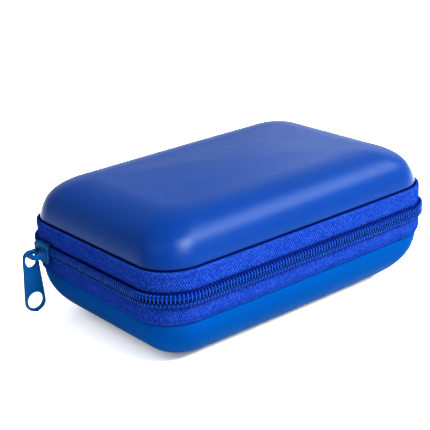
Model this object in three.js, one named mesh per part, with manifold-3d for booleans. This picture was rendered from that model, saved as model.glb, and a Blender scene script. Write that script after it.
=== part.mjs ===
// A hard-shell zippered carrying case. Two moulded foam shells, skinned outside and lined
// inside, meet at a zip band that runs round the left, front and right sides. A fabric spine
// joins them along the back and is the hinge. The slider stands on the left side with its
// pull tab hanging. Millimetres; the origin is the centre of the flat base, +X along the long
// side, +Y towards the hinge and +Z up.
import * as THREE from "three";
import { mergeVertices } from "three/addons/utils/BufferGeometryUtils.js";
import Module from "manifold-3d";

const wasm = await Module();
wasm.setup();

// Plan of the zip band
const HALF_LENGTH = 75;
const HALF_WIDTH = 51;
const CORNER_RADIUS = 17;
const LONG_SIDE_BOW = 0.55; // how far the middle of a long side stands out past its ends
const CORNER_TIGHTENING = 0.41; // share of a shell's inset that its corner radius loses

// Levels
const LOWER_RIM_Z = 22.9;
const CHAIN_Z = 33.4;
const UPPER_RIM_Z = 44.9;
const HEIGHT = 62.9;
const CROWN_RISE = 0.9;

// Form of the shells' outer faces
const RIM_STEP = 1.0; // the shells stand in from the band by this
const UPPER_DRAFT = 1.65;
const UPPER_WALL_RISE = 3.95;
const UPPER_FILLET_ACROSS = 21;
const LOWER_BOWL_ACROSS = 26.2;

// Layers of each shell, from outside in
const SKIN = 0.7;
const FOAM = 2.8;
const LINING = 0.5;
const LAYER_GAP = 0.3;

// Edge binding inside each rim
const BINDING = 0.5;
const BINDING_SEAT = 0.9;
const BINDING_LEG = 3.8;
const SLIDER_ROOM_UPPER = 0.7; // between the slider's inner wing and each bound edge
const SLIDER_ROOM_LOWER = 0.5;

// Zip band
const TAPE = 0.7;
const TAPE_SLOT_HALF = 1.3;
const COIL_CLEARANCE = 0.3;
const COIL_PROUD = 1.95;
const COIL_HALF_WIDTH = 2.9;
const COIL_MESH_GAP = 0.15;
const TAPE_END_DEG = 70; // where the tapes end round the two back corners
const COIL_END_DEG = 48;
const THREAD_WIDTH = 0.5;
const THREAD_HEIGHT = 0.4;
const THREAD_FROM_RIM = 2.0;

// Spine and the patches over the ends of the zip
const SPINE_END_GAP_DEG = 1.5;
const SPINE_LINING = 0.5;
const PATCH = 0.6;
const PATCH_FROM_DEG = 50;
const PATCH_TO_DEG = 88;
const PATCH_MARGIN = 1.0;

// Slider, in its own frame: -X away from the case, +Y towards its wide end
const SLIDER_Y = 31.8;
const SLIDER_LENGTH = 10.6;
const WING = 1.1;
const WING_CORNER = 1.6;
const SHOULDER_FLARE = 0.25; // how much further the wide end reaches, up and down
const WING_BEHIND_TAPE = 0.65;
const WING_OVER_COIL = 0.3;
const FLANGE = 0.75;
const FLANGE_OVER_TAPE = 0.5;
const WEDGE_HALF_POINT = 0.2;
const WEDGE_HALF_BACK = 0.9;
const WEDGE_LENGTH = 2.6;
const COIL_PARTING_START_Y = 28;
const COIL_PARTING_AT_CORNER = 0.9;
const COIL_PARTING_FULL = 1.35;
const COIL_PARTING_OVER_DEG = 15;
const BAIL_REACH = 5.9; // from the outer wing to the bail's outer face
const BAIL_BAR = 1.4;
const BAIL_HALF_HEIGHT = 1.1;
const BAIL_HALF_LENGTH = 4.3;
const BAIL_LEG = 1.2;
const SUNK = 0.2; // overlap of two stretches of one casting

// Pull tab, hanging in the plane across the slider
const TAB_LENGTH = 27.4;
const TAB_THICKNESS = 1.8;
const TAB_TOP_HALF = 3.4;
const TAB_BOTTOM_HALF = 4.6;
const TAB_BOTTOM_ROUND = 4.2;
const TAB_TOP_WEB = 0.95;
const TAB_EYE_HALF_WIDTH = 2.6;
const TAB_EYE_HEIGHT = 6.5;
const TAB_EYE_PLAY = 0.5;
const TAB_RING_HALF_WIDTH = 3.7;
const TAB_RING_HEIGHT = 7.4;
const TAB_RING_FLOOR = 1.3;

// Fineness of the faceted surfaces
const CORNER_STEPS = 6;
const LONG_SIDE_STEPS = 4;
const FILLET_STEPS = 5;
const CURVE_POINTS = 6;

// Worked out from the values above
const CHANNEL_HALF = COIL_HALF_WIDTH + COIL_CLEARANCE;
const WING_HALF_TAIL = CHANNEL_HALF + FLANGE;
const WING_HALF_SHOULDER = WING_HALF_TAIL + SHOULDER_FLARE;
const FOAM_DEPTH = SKIN + LAYER_GAP;
const LINING_DEPTH = FOAM_DEPTH + FOAM + LAYER_GAP;
const SHELL_DEPTH = LINING_DEPTH + LINING;
const EDGE_TO_SEAT = LAYER_GAP + BINDING_SEAT;
const UPPER_SHELL_EDGE = CHAIN_Z + WING_HALF_SHOULDER + SLIDER_ROOM_UPPER + EDGE_TO_SEAT;
const LOWER_SHELL_EDGE = CHAIN_Z - WING_HALF_SHOULDER - SLIDER_ROOM_LOWER - EDGE_TO_SEAT;

const FINISH = {
  skin: { color: 0x2c5a9c, roughness: 0.42, metalness: 0 },
  foam: { color: 0x23262b, roughness: 0.95, metalness: 0 },
  lining: { color: 0x2a2c30, roughness: 0.9, metalness: 0 },
  binding: { color: 0x1d3f8f, roughness: 0.85, metalness: 0 },
  tape: { color: 0x1040b8, roughness: 0.8, metalness: 0 },
  coil: { color: 0x0b3bb0, roughness: 0.45, metalness: 0 },
  thread: { color: 0x0a2a78, roughness: 0.7, metalness: 0 },
  metal: { color: 0x12508f, roughness: 0.35, metalness: 0.2 },
};

const radians = THREE.MathUtils.degToRad;

// A station is a place round the case that exists at every inset, so that the layers keep
// their gaps: an angle of a corner, or a share of the straight run from the middle of a side.
function corner(quadrant, fromDeg, toDeg, steps = CORNER_STEPS) {
  return Array.from({ length: steps + 1 }, (_, i) => ({
    quadrant,
    degrees: fromDeg + ((toDeg - fromDeg) * i) / steps,
  }));
}

// Corners are numbered counterclockwise from the back left one, seen from above, and their
// angles run the same way.
const CORNER_SIGNS = [
  [-1, 1],
  [-1, -1],
  [1, -1],
  [1, 1],
];
const CORNER_START_DEG = [90, 180, 270, 0];

function cornerRadiusAt(inset) {
  if (inset <= TAPE) return CORNER_RADIUS - inset;
  return CORNER_RADIUS - TAPE - CORNER_TIGHTENING * (inset - TAPE);
}

function pointAt(station, inset, z) {
  const halfLength = HALF_LENGTH - inset;
  const halfWidth = HALF_WIDTH - inset;
  const radius = cornerRadiusAt(inset);
  let x;
  let y;
  if (station.quadrant !== undefined) {
    const [signX, signY] = CORNER_SIGNS[station.quadrant];
    const angle = radians(CORNER_START_DEG[station.quadrant] + station.degrees);
    x = signX * (halfLength - radius) + radius * Math.cos(angle);
    y = signY * (halfWidth - radius) + radius * Math.sin(angle);
  } else if (station.side === "long") {
    x = station.share * (halfLength - radius);
    y = station.sign * halfWidth;
  } else {
    x = station.sign * halfLength;
    y = station.share * (halfWidth - radius);
  }
  y *= 1 - (LONG_SIDE_BOW / halfWidth) * (x / halfLength) ** 2;
  return new THREE.Vector3(x, y, z);
}

// The inner stations of the front (-1) or back (+1) run, in counterclockwise order
function longSide(sign) {
  const direction = -sign;
  return Array.from({ length: LONG_SIDE_STEPS - 1 }, (_, i) => ({
    side: "long",
    sign,
    share: direction * (-1 + (2 * (i + 1)) / LONG_SIDE_STEPS),
  }));
}

const FRONT = -1;
const BACK = 1;

// One station near the back end of each short side: on the left, the coils part from there
const PARTING_SHARE = COIL_PARTING_START_Y / (HALF_WIDTH - CORNER_RADIUS);
const leftSide = () => [{ side: "short", sign: -1, share: PARTING_SHARE }];
const rightSide = () => [{ side: "short", sign: 1, share: PARTING_SHARE }];

const WHOLE_RING = [
  ...corner(0, 0, 90),
  ...leftSide(),
  ...corner(1, 0, 90),
  ...longSide(FRONT),
  ...corner(2, 0, 90),
  ...rightSide(),
  ...corner(3, 0, 90),
  ...longSide(BACK),
];

// The run of the zip from the back left corner round the front to the back right one, with
// its ends at an angle measured from the short sides
function zipRun(endDeg) {
  return [
    ...corner(0, 90 - endDeg, 90),
    ...leftSide(),
    ...corner(1, 0, 90),
    ...longSide(FRONT),
    ...corner(2, 0, 90),
    ...rightSide(),
    ...corner(3, 0, endDeg),
  ];
}

// The run of the spine along the back, between the ends of the two tapes
function spineRun() {
  const from = TAPE_END_DEG + SPINE_END_GAP_DEG;
  return [...corner(3, from, 90, 2), ...longSide(BACK), ...corner(0, 0, 90 - from, 2)];
}

function centroid(points) {
  const sum = new THREE.Vector3();
  points.forEach((point) => sum.add(point));
  return sum.divideScalar(points.length);
}

// A closed body through rows of equally many points. Each row is a closed loop. The ends are
// closed by fans to the given points, or the last row joins the first.
function loft(rows, ends) {
  const size = rows[0].length;
  const vertices = rows.flat();
  const triangles = [];
  const joinedRows = ends ? rows.length - 1 : rows.length;
  for (let row = 0; row < joinedRows; row++) {
    const next = (row + 1) % rows.length;
    for (let i = 0; i < size; i++) {
      const j = (i + 1) % size;
      const [a, b] = [row * size + i, row * size + j];
      const [c, d] = [next * size + i, next * size + j];
      triangles.push([a, b, d], [a, d, c]);
    }
  }
  if (ends) {
    const first = vertices.push(ends[0]) - 1;
    const last = vertices.push(ends[1]) - 1;
    const lastRow = (rows.length - 1) * size;
    for (let i = 0; i < size; i++) {
      const j = (i + 1) % size;
      triangles.push([first, j, i], [last, lastRow + i, lastRow + j]);
    }
  }
  return facingOut(vertices, triangles);
}

function facingOut(vertices, triangles) {
  const volume = triangles.reduce((sum, [a, b, c]) => {
    const normal = new THREE.Vector3().crossVectors(vertices[b], vertices[c]);
    return sum + vertices[a].dot(normal);
  }, 0);
  const wound = volume < 0 ? triangles.map(([a, b, c]) => [a, c, b]) : triangles;
  const geometry = new THREE.BufferGeometry().setFromPoints(vertices);
  geometry.setIndex(wound.flat());
  geometry.computeVertexNormals();
  return geometry;
}

// A ring, open run or strip of constant section, given as [inset, z] corners
function strip(stations, section, closed = false) {
  const rows = stations.map((station) => section.map(([inset, z]) => pointAt(station, inset, z)));
  return loft(rows, closed ? null : [centroid(rows[0]), centroid(rows.at(-1))]);
}

function band(insetOuter, insetInner, zLow, zHigh) {
  return [
    [insetOuter, zLow],
    [insetInner, zLow],
    [insetInner, zHigh],
    [insetOuter, zHigh],
  ];
}

// Half profile of a shell's face at a depth under its outer skin, from rim to crown
function upperProfile(depth) {
  const wallInset = RIM_STEP + depth;
  const filletInset = wallInset + UPPER_DRAFT;
  const filletZ = UPPER_RIM_Z + UPPER_WALL_RISE;
  const rise = HEIGHT - CROWN_RISE - filletZ - depth;
  const across = UPPER_FILLET_ACROSS - depth;
  const profile = [
    [wallInset, UPPER_SHELL_EDGE],
    [wallInset, UPPER_RIM_Z],
  ];
  for (let i = 0; i <= FILLET_STEPS; i++) {
    const angle = (Math.PI / 2) * (i / FILLET_STEPS);
    profile.push([
      filletInset + across * (1 - Math.cos(angle)),
      filletZ + rise * Math.sin(angle),
    ]);
  }
  return profile;
}

function lowerProfile(depth) {
  const wallInset = RIM_STEP + depth;
  const drop = LOWER_RIM_Z - depth;
  const across = LOWER_BOWL_ACROSS - depth;
  const profile = [[wallInset, LOWER_SHELL_EDGE]];
  for (let i = 0; i <= FILLET_STEPS; i++) {
    const angle = (Math.PI / 2) * (i / FILLET_STEPS);
    profile.push([
      wallInset + across * (1 - Math.cos(angle)),
      LOWER_RIM_Z - drop * Math.sin(angle),
    ]);
  }
  return profile;
}

const ringAt = ([inset, z]) => WHOLE_RING.map((station) => pointAt(station, inset, z));

// One layer of a shell, between two depths under the outer face
function layer(profileAt, crownZAt, depth, thickness) {
  const outer = profileAt(depth).map(ringAt);
  const inner = profileAt(depth + thickness).map(ringAt);
  const rows = [...outer.reverse(), ...inner];
  const ends = [depth, depth + thickness].map((d) => new THREE.Vector3(0, 0, crownZAt(d)));
  return loft(rows, ends);
}

const upperLayer = (depth, thickness) =>
  layer(upperProfile, (d) => HEIGHT - d, depth, thickness);
const lowerLayer = (depth, thickness) => layer(lowerProfile, (d) => d, depth, thickness);

// The bound edge: a seat under the layers' raw edge and a leg up the lining's inner face.
// side is +1 on the lid, whose edge looks down, and -1 on the base.
function edgeBinding(edgeZ, side) {
  const outer = RIM_STEP;
  const legOuter = RIM_STEP + SHELL_DEPTH + LAYER_GAP;
  const legInner = legOuter + BINDING;
  const seatTop = edgeZ - side * LAYER_GAP;
  const seatBottom = seatTop - side * BINDING_SEAT;
  const legTop = seatTop + side * BINDING_LEG;
  const section = [
    [outer, seatBottom],
    [legInner, seatBottom],
    [legInner, legTop],
    [legOuter, legTop],
    [legOuter, seatTop],
    [outer, seatTop],
  ];
  return strip(WHOLE_RING, section, true);
}

function zipTape(zLow, zHigh) {
  return strip(zipRun(TAPE_END_DEG), band(0, TAPE, zLow, zHigh));
}

// How far a coil's inner edge lies from the middle of the chain: close along the chain, and
// parted round the back left corner, which the slider's wedge has reached.
function coilInnerEdge(station) {
  if (station.quadrant !== 0) return COIL_MESH_GAP;
  const turned = Math.min(1, (90 - station.degrees) / COIL_PARTING_OVER_DEG);
  return COIL_PARTING_AT_CORNER + (COIL_PARTING_FULL - COIL_PARTING_AT_CORNER) * turned;
}

function coil(side) {
  const rows = zipRun(COIL_END_DEG).map((station) => {
    const edges = [coilInnerEdge(station), COIL_HALF_WIDTH].map((edge) => CHAIN_Z + side * edge);
    const section = band(-COIL_PROUD, -COIL_CLEARANCE, edges[0], edges[1]);
    return section.map(([inset, z]) => pointAt(station, inset, z));
  });
  return loft(rows, [centroid(rows[0]), centroid(rows.at(-1))]);
}

function seamThread(zMiddle) {
  const inner = -LAYER_GAP;
  const section = band(
    inner - THREAD_HEIGHT,
    inner,
    zMiddle - THREAD_WIDTH / 2,
    zMiddle + THREAD_WIDTH / 2,
  );
  return strip(zipRun(COIL_END_DEG), section);
}

const spineFabric = () => strip(spineRun(), band(0, TAPE, LOWER_RIM_Z, UPPER_RIM_Z));

// Inside the spine, between the two bound edges
function spineLining() {
  const low = LOWER_SHELL_EDGE + EDGE_TO_SEAT + LAYER_GAP;
  const high = UPPER_SHELL_EDGE - EDGE_TO_SEAT - LAYER_GAP;
  return strip(spineRun(), band(RIM_STEP, RIM_STEP + SPINE_LINING, low, high));
}

function zipEndPatch(stations) {
  const section = band(
    -LAYER_GAP - PATCH,
    -LAYER_GAP,
    LOWER_RIM_Z + PATCH_MARGIN,
    UPPER_RIM_Z - PATCH_MARGIN,
  );
  return strip(stations, section);
}

// Booleans for the slider casting
function solidOf(geometry) {
  const bare = geometry.clone();
  bare.deleteAttribute("normal");
  bare.deleteAttribute("uv");
  const merged = mergeVertices(bare, 1e-4);
  return new wasm.Manifold(
    new wasm.Mesh({
      numProp: 3,
      vertProperties: new Float32Array(merged.attributes.position.array),
      triVerts: new Uint32Array(merged.index.array),
    }),
  );
}

function joined(geometries) {
  const solid = geometries.map(solidOf).reduce((sum, next) => sum.add(next));
  const mesh = solid.getMesh();
  const geometry = new THREE.BufferGeometry();
  geometry.setAttribute("position", new THREE.BufferAttribute(mesh.vertProperties, 3));
  geometry.setIndex(new THREE.BufferAttribute(mesh.triVerts, 1));
  geometry.computeVertexNormals();
  return geometry;
}

function extruded(shape, depth) {
  return new THREE.ExtrudeGeometry(shape, {
    depth,
    bevelEnabled: false,
    curveSegments: CURVE_POINTS,
  });
}

const AXIS_X = new THREE.Vector3(1, 0, 0);
const AXIS_Y = new THREE.Vector3(0, 1, 0);
const AXIS_Z = new THREE.Vector3(0, 0, 1);
const ACROSS_X = new THREE.Matrix4().makeBasis(AXIS_Y, AXIS_Z, AXIS_X);
const ACROSS_Y = new THREE.Matrix4().makeBasis(AXIS_X, AXIS_Z, AXIS_Y.clone().negate());

// The slider's plate seen along X: y along the track, narrow at the tail
function wingShape() {
  const [back, front] = [SLIDER_LENGTH / 2, -SLIDER_LENGTH / 2];
  const [tail, shoulder, round] = [WING_HALF_TAIL, WING_HALF_SHOULDER, WING_CORNER];
  const shape = new THREE.Shape();
  shape.moveTo(front, -tail + round);
  shape.quadraticCurveTo(front, -tail, front + round, -tail);
  shape.lineTo(back - round, -shoulder);
  shape.quadraticCurveTo(back, -shoulder, back, -shoulder + round);
  shape.lineTo(back, shoulder - round);
  shape.quadraticCurveTo(back, shoulder, back - round, shoulder);
  shape.lineTo(front + round, tail);
  shape.quadraticCurveTo(front, tail, front, tail - round);
  return shape;
}

// A slab across X between two distances from the band's surface, outwards positive
function slab(shape, from, to) {
  return extruded(shape, to - from).applyMatrix4(ACROSS_X).translate(-to, 0, 0);
}

// One turned-in edge of the outer wing, along the upper (+1) or lower (-1) side
function flangeShape(side) {
  const [back, front] = [SLIDER_LENGTH / 2, -SLIDER_LENGTH / 2];
  const shape = new THREE.Shape();
  shape.moveTo(front + WING_CORNER, side * CHANNEL_HALF);
  shape.lineTo(back - WING_CORNER, side * CHANNEL_HALF);
  shape.lineTo(back - WING_CORNER, side * WING_HALF_SHOULDER);
  shape.lineTo(front + WING_CORNER, side * WING_HALF_TAIL);
  return shape;
}

function wedgeShape() {
  const back = SLIDER_LENGTH / 2;
  const point = back - WEDGE_LENGTH;
  const shape = new THREE.Shape();
  shape.moveTo(point, -WEDGE_HALF_POINT);
  shape.lineTo(back, -WEDGE_HALF_BACK);
  shape.lineTo(back, WEDGE_HALF_BACK);
  shape.lineTo(point, WEDGE_HALF_POINT);
  return shape;
}

function bailShape(inside, outside) {
  const [half, leg, round] = [BAIL_HALF_LENGTH, BAIL_LEG, BAIL_BAR];
  const shape = new THREE.Shape();
  shape.moveTo(-inside, -half);
  shape.lineTo(-inside, -half + leg);
  shape.lineTo(-outside + BAIL_BAR, -half + leg);
  shape.lineTo(-outside + BAIL_BAR, half - leg);
  shape.lineTo(-inside, half - leg);
  shape.lineTo(-inside, half);
  shape.lineTo(-outside + round, half);
  shape.quadraticCurveTo(-outside, half, -outside, half - round);
  shape.lineTo(-outside, -half + round);
  shape.quadraticCurveTo(-outside, -half, -outside + round, -half);
  return shape;
}

const WING_INSIDE = COIL_PROUD + WING_OVER_COIL;
const WING_OUTSIDE = WING_INSIDE + WING;
const BAIL_OUTSIDE = WING_OUTSIDE + BAIL_REACH;
const BAIL_PIVOT = BAIL_OUTSIDE - BAIL_BAR / 2;

function sliderCasting() {
  const behind = TAPE + WING_BEHIND_TAPE;
  const outerWing = slab(wingShape(), WING_INSIDE, WING_OUTSIDE);
  const innerWing = slab(wingShape(), -behind - WING, -behind);
  const wedge = slab(wedgeShape(), -behind - WING / 2, WING_OUTSIDE - WING / 2);
  const flanges = [1, -1].map((side) =>
    slab(flangeShape(side), FLANGE_OVER_TAPE, WING_OUTSIDE - SUNK),
  );
  const bail = extruded(bailShape(WING_OUTSIDE - SUNK, BAIL_OUTSIDE), 2 * BAIL_HALF_HEIGHT);
  bail.translate(0, 0, -BAIL_HALF_HEIGHT);
  return joined([outerWing, innerWing, wedge, ...flanges, bail]);
}

// The tab's plate, hung from the bail's bar at its own origin, with x away from the case and
// y up
function tabShape() {
  const eyeTop = BAIL_HALF_HEIGHT + TAB_EYE_PLAY;
  const top = eyeTop + TAB_TOP_WEB;
  const bottom = top - TAB_LENGTH;
  const eyeBottom = eyeTop - TAB_EYE_HEIGHT;
  const shoulder = top - TAB_TOP_HALF;
  const [wide, narrow, round] = [TAB_BOTTOM_HALF, TAB_TOP_HALF, TAB_BOTTOM_ROUND];
  const shape = new THREE.Shape();
  shape.moveTo(-wide, bottom + round);
  shape.bezierCurveTo(-wide, bottom + round / 3, -wide / 2, bottom, 0, bottom);
  shape.bezierCurveTo(wide / 2, bottom, wide, bottom + round / 3, wide, bottom + round);
  shape.lineTo(narrow, shoulder);
  shape.bezierCurveTo(narrow, top - narrow / 3, narrow / 2, top, 0, top);
  shape.bezierCurveTo(-narrow / 2, top, -narrow, top - narrow / 3, -narrow, shoulder);
  shape.holes.push(ovalPath(eyeTop, eyeBottom, TAB_EYE_HALF_WIDTH));
  const ringBottom = bottom + TAB_RING_FLOOR;
  shape.holes.push(ovalPath(ringBottom + TAB_RING_HEIGHT, ringBottom, TAB_RING_HALF_WIDTH));
  return shape;
}

function ovalPath(top, bottom, halfWidth) {
  const path = new THREE.Path();
  path.absellipse(0, (top + bottom) / 2, halfWidth, (top - bottom) / 2, 0, 2 * Math.PI);
  return path;
}

function pullTab() {
  const plate = extruded(tabShape(), TAB_THICKNESS);
  return plate.applyMatrix4(ACROSS_Y).translate(0, TAB_THICKNESS / 2, 0);
}

function part(name, geometry, finish) {
  const mesh = new THREE.Mesh(geometry, new THREE.MeshStandardMaterial(finish));
  mesh.name = name;
  return mesh;
}

function lidGroup() {
  const group = new THREE.Group();
  group.add(
    part("upper_skin", upperLayer(0, SKIN), FINISH.skin),
    part("upper_foam_shell", upperLayer(FOAM_DEPTH, FOAM), FINISH.foam),
    part("upper_lining", upperLayer(LINING_DEPTH, LINING), FINISH.lining),
    part("upper_edge_binding", edgeBinding(UPPER_SHELL_EDGE, 1), FINISH.binding),
    part("upper_zip_tape", zipTape(CHAIN_Z + TAPE_SLOT_HALF, UPPER_RIM_Z), FINISH.tape),
    part("upper_coil", coil(1), FINISH.coil),
    part("upper_seam_thread", seamThread(UPPER_RIM_Z - THREAD_FROM_RIM), FINISH.thread),
  );
  return group;
}

function baseGroup() {
  const left = corner(0, 90 - PATCH_TO_DEG, 90 - PATCH_FROM_DEG, 3);
  const right = corner(3, PATCH_FROM_DEG, PATCH_TO_DEG, 3);
  const group = new THREE.Group();
  group.add(
    part("lower_skin", lowerLayer(0, SKIN), FINISH.skin),
    part("lower_foam_shell", lowerLayer(FOAM_DEPTH, FOAM), FINISH.foam),
    part("lower_lining", lowerLayer(LINING_DEPTH, LINING), FINISH.lining),
    part("lower_edge_binding", edgeBinding(LOWER_SHELL_EDGE, -1), FINISH.binding),
    part("lower_zip_tape", zipTape(LOWER_RIM_Z, CHAIN_Z - TAPE_SLOT_HALF), FINISH.tape),
    part("lower_coil", coil(-1), FINISH.coil),
    part("lower_seam_thread", seamThread(LOWER_RIM_Z + THREAD_FROM_RIM), FINISH.thread),
    part("spine_fabric", spineFabric(), FINISH.binding),
    part("spine_lining", spineLining(), FINISH.lining),
    part("zip_end_patch_left", zipEndPatch(left), FINISH.skin),
    part("zip_end_patch_right", zipEndPatch(right), FINISH.skin),
  );
  return group;
}

function sliderGroup() {
  const tab = new THREE.Group();
  tab.add(part("pull_tab", pullTab(), FINISH.metal));
  tab.position.set(-BAIL_PIVOT, 0, 0);
  const group = new THREE.Group();
  group.add(part("slider_body", sliderCasting(), FINISH.metal), tab);
  group.position.set(-HALF_LENGTH, SLIDER_Y, CHAIN_Z);
  return group;
}

const carryingCase = new THREE.Group();
carryingCase.add(baseGroup(), lidGroup(), sliderGroup());

export default carryingCase;
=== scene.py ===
import math

import bmesh
import bpy
import numpy as np
from mathutils import Matrix, Vector


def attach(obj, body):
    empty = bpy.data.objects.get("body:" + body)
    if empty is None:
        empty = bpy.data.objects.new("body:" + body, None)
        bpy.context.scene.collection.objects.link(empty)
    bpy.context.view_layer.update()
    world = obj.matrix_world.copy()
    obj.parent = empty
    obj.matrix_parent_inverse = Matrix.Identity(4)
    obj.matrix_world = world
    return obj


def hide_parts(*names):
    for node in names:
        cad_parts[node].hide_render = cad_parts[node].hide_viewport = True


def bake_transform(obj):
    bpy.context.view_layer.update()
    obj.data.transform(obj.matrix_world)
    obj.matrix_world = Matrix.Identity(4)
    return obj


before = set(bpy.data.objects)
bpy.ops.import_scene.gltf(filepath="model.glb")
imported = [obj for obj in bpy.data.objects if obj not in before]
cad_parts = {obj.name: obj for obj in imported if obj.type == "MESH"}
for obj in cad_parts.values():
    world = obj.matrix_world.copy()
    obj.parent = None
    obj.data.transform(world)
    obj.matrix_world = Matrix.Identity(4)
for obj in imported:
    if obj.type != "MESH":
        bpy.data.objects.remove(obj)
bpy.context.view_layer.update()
scene = bpy.context.scene

# Camera. A long lens looks down over the front left corner, with the horizon tipped a little.
AZIMUTH, ELEVATION, ROLL = (math.radians(angle) for angle in (-37.995, 20.717, -3.296))
CAMERA_DISTANCE = 0.5125
AIM_ACROSS, AIM_UP = -0.007248, 0.034717
LENS_MM, SENSOR_MM = 95.334, 36


def outward(azimuth, elevation):
    """The direction from the case to what stands at that bearing from its front, in radians."""
    return Vector((
        math.sin(azimuth) * math.cos(elevation),
        -math.cos(azimuth) * math.cos(elevation),
        math.sin(elevation),
    ))


def placed(name, data):
    """A new object in the scene."""
    thing = bpy.data.objects.new(name, data)
    scene.collection.objects.link(thing)
    return thing


back = outward(AZIMUTH, ELEVATION)
level_right = (-back).cross(Vector((0, 0, 1))).normalized()
level_up = level_right.cross(-back)
rolled_right = level_right * math.cos(ROLL) + level_up * math.sin(ROLL)
rolled_up = level_up * math.cos(ROLL) - level_right * math.sin(ROLL)
camera = placed("camera", bpy.data.cameras.new("camera"))
camera.data.lens, camera.data.sensor_width = LENS_MM, SENSOR_MM
camera.data.clip_start, camera.data.clip_end = 0.01, 20
camera.matrix_world = Matrix((rolled_right, rolled_up, back)).transposed().to_4x4()
camera.location = level_right * AIM_ACROSS + level_up * AIM_UP + back * CAMERA_DISTANCE
scene.camera = camera

# Floor and studio light. The case stands on a white table lit from below. A long strip light and a
# smaller soft box stand high in front, with a weak panel on each side, in a white room.
FLOOR_HALF, FLOOR_DROP, MIDDLE_HEIGHT, ROOM_LIGHT = 9.0, 0.0002, 0.03, 0.98
FLOOR_LOOK = {
    "Base Color": (0.95, 0.95, 0.95, 1), "Roughness": 0.9, "Specular IOR Level": 0,
    "Emission Color": (1, 1, 1, 1), "Emission Strength": 0.1,
}
LIGHTS = (
    ("strip light", 42, 46, 1.1, (1.15, 0.5), 25.5),
    ("soft box", 7, 47, 1.1, (0.52, 0.6), 32),
    ("left panel", -85, 42, 1.2, (0.9, 0.6), 4.0),
    ("side panel", 122, 24, 1.2, (0.6, 0.4), 1.0),
)

floor_mesh = bpy.data.meshes.new("floor")
floor_mesh.from_pydata(
    [(-FLOOR_HALF, -FLOOR_HALF, -FLOOR_DROP), (FLOOR_HALF, -FLOOR_HALF, -FLOOR_DROP),
     (FLOOR_HALF, FLOOR_HALF, -FLOOR_DROP), (-FLOOR_HALF, FLOOR_HALF, -FLOOR_DROP)],
    [], [(0, 1, 2, 3)],
)
floor = placed("floor", floor_mesh)
paper = bpy.data.materials.new("lit table")
paper.use_nodes = True
for socket, value in FLOOR_LOOK.items():
    paper.node_tree.nodes["Principled BSDF"].inputs[socket].default_value = value
floor_mesh.materials.append(paper)

for name, azimuth, elevation, distance, size, watts in LIGHTS:
    away = outward(math.radians(azimuth), math.radians(elevation))
    light = bpy.data.lights.new(name, "AREA")
    light.shape, light.size, light.size_y, light.energy = "RECTANGLE", *size, watts
    lamp = placed(name, light)
    lamp.location = Vector((0, 0, MIDDLE_HEIGHT)) + away * distance
    lamp.rotation_euler = away.to_track_quat("Z", "Y").to_euler()

room = bpy.data.worlds.new("white room")
room.use_nodes = True
room.node_tree.nodes["Background"].inputs["Color"].default_value = (1, 1, 1, 1)
room.node_tree.nodes["Background"].inputs["Strength"].default_value = ROOM_LIGHT
scene.world = room
scene.view_settings.view_transform = "Standard"
scene.view_settings.look = "High Contrast"

# Coated covers of the lid and the bowl. Smooth polyurethane cloth, heat-moulded over the foam,
# wraps each half from the crown to behind the zip band. The stitching pinches it at the band.
MM = 0.001
HALF_LENGTH, HALF_WIDTH, CORNER_RADIUS = 75, 51, 17
LONG_SIDE_BOW, CORNER_TIGHTENING, BAND_THICKNESS = 0.55, 0.41, 0.7
LOWER_RIM, CHAIN, UPPER_RIM, HEIGHT = 22.9, 33.4, 44.9, 62.9
RIM_STEP, CROWN_RISE, PINCH = 1.0, 0.9, 0.3
LID_EDGE, LID_WALL_TOP, LID_DRAFT, LID_FILLET_ACROSS = 39.5, 48.85, 1.65, 21
BOWL_EDGE, BOWL_ACROSS = 27.5, 26.2
LID_FOOT_IN, FOOT_LEAN, FILLET_FROM, LID_PINCH_REACH, BOWL_PINCH_REACH = 0.2, 0.12, 0.32, 0.55, 0.6
FILLET_STEPS, WALL_STEPS, WALL_CROWDING, BOWL_STEPS, BOWL_CROWDING = 22, 18, 1.5, 36, 1.3
CROWN_RINGS, LEAST_RING = 14, 0.04
LID_SKIRT, BOWL_SKIRT = (LID_EDGE, 42, 43.6, 44.2, 44.5), (BOWL_EDGE, 25.5, 24.2, 23.7, 23.3)
COVER_THICKNESS = 0.7
LID_COVER_CUT, BOWL_COVER_CUT = (0.131, 0.179, 0.0227), (0.134, 0.182, 0.0236)
LID_BLUE, LID_DEEP_BLUE = (0, 0.0155, 0.0745, 1), (0, 0.0138, 0.066, 1)
# The bowl's copy of the cloth is painted lighter and greener than the lid's, as painted light from
# the white floor below; it is the same cloth.
BOWL_BLUE, BOWL_DEEP_BLUE = (0, 0.03, 0.105, 1), (0, 0.0265, 0.09, 1)
SEAM_SHADOW, SEAM_SHADOW_REACH, BOWL_SHADOW_NARROWER = (0, 0.002, 0.025, 1), 0.65, 1.6
COVER_ROUGHNESS, LID_GLOSS, BOWL_GLOSS = 0.3, 0.085, 0.002


def corner(quadrant, start=0, end=90, steps=28):
    """Stations round a corner. They count counterclockwise from the back left one."""
    sign_x, sign_y = ((-1, 1), (-1, -1), (1, -1), (1, 1))[quadrant]
    angle = np.radians(90 + 90 * quadrant + np.linspace(start, end, steps + 1))
    one = np.ones_like(angle)
    return np.stack([sign_x * one, np.cos(angle) - sign_x, sign_y * one, np.sin(angle) - sign_y], 1)


def long_side(sign, steps=36):
    share = -sign * np.linspace(-1, 1, steps + 1)[1:-1]
    return np.stack([share, -share, sign + 0 * share, 0 * share], 1)


def short_side(sign, steps=20):
    share = sign * np.linspace(-1, 1, steps + 1)[1:-1]
    return np.stack([sign + 0 * share, 0 * share, share, -share], 1)


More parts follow.
